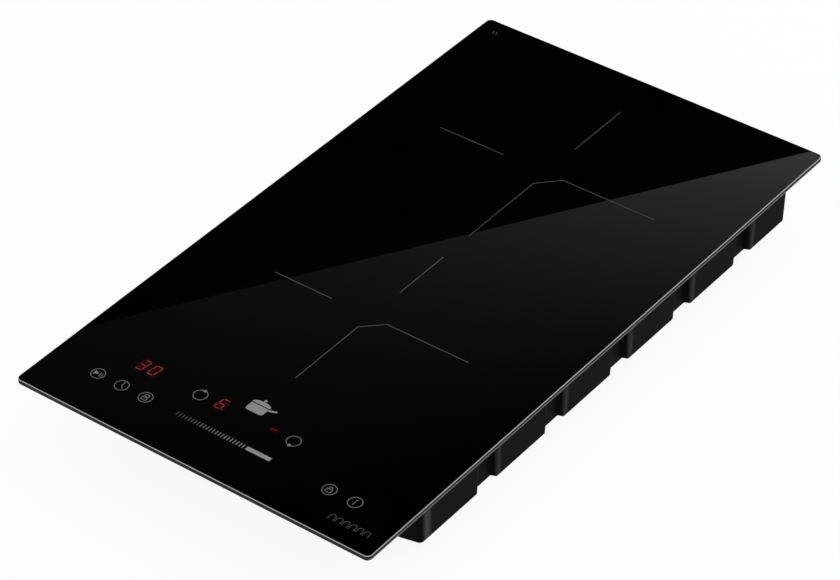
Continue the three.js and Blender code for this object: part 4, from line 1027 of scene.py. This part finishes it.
# Each segment's two ends, in halves of a figure's width and height.
SEGMENT_ENDS = {
    "a": ((-1, 1), (1, 1)), "g": ((-1, 0), (1, 0)), "d": ((-1, -1), (1, -1)),
    "f": ((-1, 0), (-1, 1)), "b": ((1, 0), (1, 1)),
    "e": ((-1, -1), (-1, 0)), "c": ((1, -1), (1, 0)),
}


def lit(name, dark, light):
    """The glow of red segments as it comes through the glass."""
    material, tree, shader, place = new_material(
        name, Base_Color=linear("#140204"), Roughness=0.35, Emission_Strength=1.0,
    )
    die = add_node(tree, "TexNoise", {"Vector": place, "Scale": per_mm(1.5), "Detail": 1})["Fac"]
    glow = add_node(tree, "Mix", {0: die, 6: linear(dark), 7: linear(light)}, data_type="RGBA")[2]
    tree.links.new(glow, shader.inputs["Emission Color"])
    return material


led_red = lit("lit_red_segments", "#532125", "#84434a")
led_dim = lit("dimmed_red_segments", "#331619", "#4b2a2e")


def figure(character, x):
    """One slanted seven-segment figure about x."""
    strips = []
    for letter in SEGMENTS[character]:
        start, end = (
            Vector((x_end * DIGIT_WIDTH / 2, y_end * DIGIT_HEIGHT / 2))
            for x_end, y_end in SEGMENT_ENDS[letter]
        )
        way = (end - start).normalized()
        across = Vector((-way.y, way.x)) * SEGMENT / 2
        start += way * SEGMENT_GAP
        end -= way * SEGMENT_GAP
        pairs = []
        for middle, spread in (
            (start, 0), (start + way * SEGMENT / 2, 1), (end - way * SEGMENT / 2, 1), (end, 0),
        ):
            sides = (middle + across * spread, middle - across * spread)
            pairs.append(tuple((x + p.x + p.y * DIGIT_SLANT, FIGURE_ROW + p.y) for p in sides))
        strips.append((pairs, False))
    return strips


printed("timer_digits", [*figure("3", -86.8), *figure("0", -77.0)], led_red, "display_lens")
printed("back_zone_digit", figure("6", -20.6), led_red, "display_lens")
printed("back_zone_point", [dot(-17.0, -205.1, 0.6)], led_dim, "display_lens")
printed("front_zone_digit", figure("-", 22.65), led_dim, "display_lens")

# ------------------------ studio
# The cooktop stands on white paper under soft boxes. A black cloth overhead, which only
# reflections see, keeps the glass black, and a grey card gives the wash across its right half.

# To the camera and in reflections the paper shines mostly by itself, like paper on a light
# table, and keeps only a trace of the object's shadow. It is matt, with a faint fibre.
LIGHT_TABLE = 0.92


def in_sight(tree):
    """1 for rays that come from the camera, off a glossy surface or through glass."""
    ray = add_node(tree, "LightPath", {})
    seen = add_node(tree, "Math", {
        0: ray["Is Camera Ray"], 1: ray["Is Glossy Ray"],
    }, operation="MAXIMUM")[0]
    return add_node(tree, "Math", {0: seen, 1: ray["Is Transmission Ray"]}, operation="MAXIMUM")[0]


paper, tree, shader, place = new_material("white_paper", Roughness=0.9)
fibre = add_node(tree, "TexNoise", {"Vector": place, "Scale": per_mm(4), "Detail": 2})["Fac"]
lay_on(tree, shader, fibre, ("#f6f6f6", "#f9f9f9"), (0.85, 0.95), 0)
share = add_node(tree, "Math", {0: in_sight(tree), 1: LIGHT_TABLE}, operation="MULTIPLY")[0]
shine = add_node(tree, "Emission", {"Color": linear("#ffffff"), "Strength": 1})["Emission"]
lit_paper = add_node(tree, "MixShader", {0: share, 1: shader.outputs["BSDF"], 2: shine})[0]
tree.links.new(lit_paper, tree.nodes["Material Output"].inputs["Surface"])


def sheet_of(name, corners, material):
    """A flat stage piece through these corners, in metres."""
    mesh = bpy.data.meshes.new(name)
    mesh.from_pydata(corners, [], [list(range(len(corners)))])
    piece = placed(name, mesh, material)
    return piece


def square(half, z):
    """The corners of a level square about the centre, for a sheet that faces up."""
    return [(-half, -half, z), (half, -half, z), (half, half, z), (-half, half, z)]


# The paper lies a tenth of a millimetre clear of the case, so that the two never share a plane.
FLOOR = 12
FLOOR_GAP = 0.1 * MM
sheet_of("floor", square(FLOOR, -FLOOR_GAP), paper)


def only_reflected(piece):
    """Hides a stage piece from all but reflections."""
    piece.visible_camera = False
    piece.visible_diffuse = False
    piece.visible_shadow = False


# The matt cloth is wide enough to be over the glass in any view from 15 degrees up.
CEILING = 2.6
CLOTH = 16
cloth = mottled(
    "black_cloth", ("#000000", "#020202"), (0.95, 1.0), 2, 2, 0,
    Roughness=1.0, Specular_IOR_Level=0.0,
)
only_reflected(sheet_of("ceiling_cloth", square(CLOTH, CEILING)[::-1], cloth))

# The grey card hangs just under the cloth. Its long edge is the line across the glass. It is
# palest along that edge and fades away from it, and grows paler towards the back.
CARD_HEIGHT = 2.4
CARD_LENGTH = 6
CARD_EDGE = Vector((0.5251, 0.8511, 0))
CARD_START = Vector((-2.0894, 2.1086, CARD_HEIGHT)) - CARD_LENGTH / 2 * CARD_EDGE
CARD_END = CARD_START + CARD_LENGTH * CARD_EDGE
CARD_AWAY = Vector((CARD_EDGE.y, -CARD_EDGE.x, 0))
CARD_WASH = 0.05
CARD_GROWTH = 2.0
CARD_FADE = 0.55
card_grey, tree, shader, place = new_material(
    "graded_grey_card", Base_Color=linear("#000000"), Roughness=1.0, Specular_IOR_Level=0.0,
    Emission_Strength=1.0,
)
across = add_node(tree, "VectorMath", {0: place, 1: CARD_AWAY}, operation="DOT_PRODUCT")["Value"]
along = add_node(tree, "VectorMath", {0: place, 1: CARD_EDGE}, operation="DOT_PRODUCT")["Value"]
fade = add_node(tree, "MapRange", {
    "Value": across, "From Min": CARD_START.dot(CARD_AWAY),
    "From Max": CARD_START.dot(CARD_AWAY) + CARD_FADE, "To Min": CARD_WASH, "To Max": 0,
})["Result"]
growth = add_node(tree, "Math", {
    0: along, 1: CARD_GROWTH, 2: -CARD_GROWTH * (CARD_START.dot(CARD_EDGE) + CARD_LENGTH / 2),
}, operation="MULTIPLY_ADD")[0]
growth = add_node(tree, "Math", {0: growth}, operation="EXPONENT")[0]
wash = add_node(tree, "Math", {0: fade, 1: growth}, operation="MULTIPLY")[0]
tree.links.new(wash, shader.inputs["Emission Color"])

only_reflected(sheet_of("grey_card", [
    CARD_START, CARD_END, CARD_END + CARD_AWAY, CARD_START + CARD_AWAY,
], card_grey))

# The room is white where it is seen, and lights the cooktop at an even, slightly lower level.
AMBIENT = 0.8
world = bpy.data.worlds.new("studio")
bpy.context.scene.world = world
world.use_nodes = True
tree = world.node_tree
backdrop = tree.nodes["Background"]
level = add_node(tree, "MapRange", {
    "Value": in_sight(tree), "To Min": AMBIENT, "To Max": 1.0,
})["Result"]
tree.links.new(level, backdrop.inputs["Strength"])
backdrop.inputs["Color"].default_value = linear("#ffffff")


def soft_box(name, direction, distance, width, height, power):
    """A rectangular lamp aimed at the cooktop from a direction, in metres and watts."""
    lamp = bpy.data.lights.new(name, "AREA")
    lamp.shape = "RECTANGLE"
    lamp.size = width
    lamp.size_y = height
    lamp.energy = power
    place = Vector(direction).normalized()
    holder = bpy.data.objects.new(name, lamp)
    holder.matrix_world = (
        Matrix.Translation(place * distance) @ place.to_track_quat("Z", "Y").to_matrix().to_4x4()
    )
    bpy.context.scene.collection.objects.link(holder)


soft_box("key_box", (0.30, 0.62, 0.72), 2.6, 1.2, 1.2, 16)
soft_box("low_strip", (0.85, -0.52, 0.12), 1.6, 1.2, 0.25, 2)

bpy.context.scene.view_settings.view_transform = "Standard"
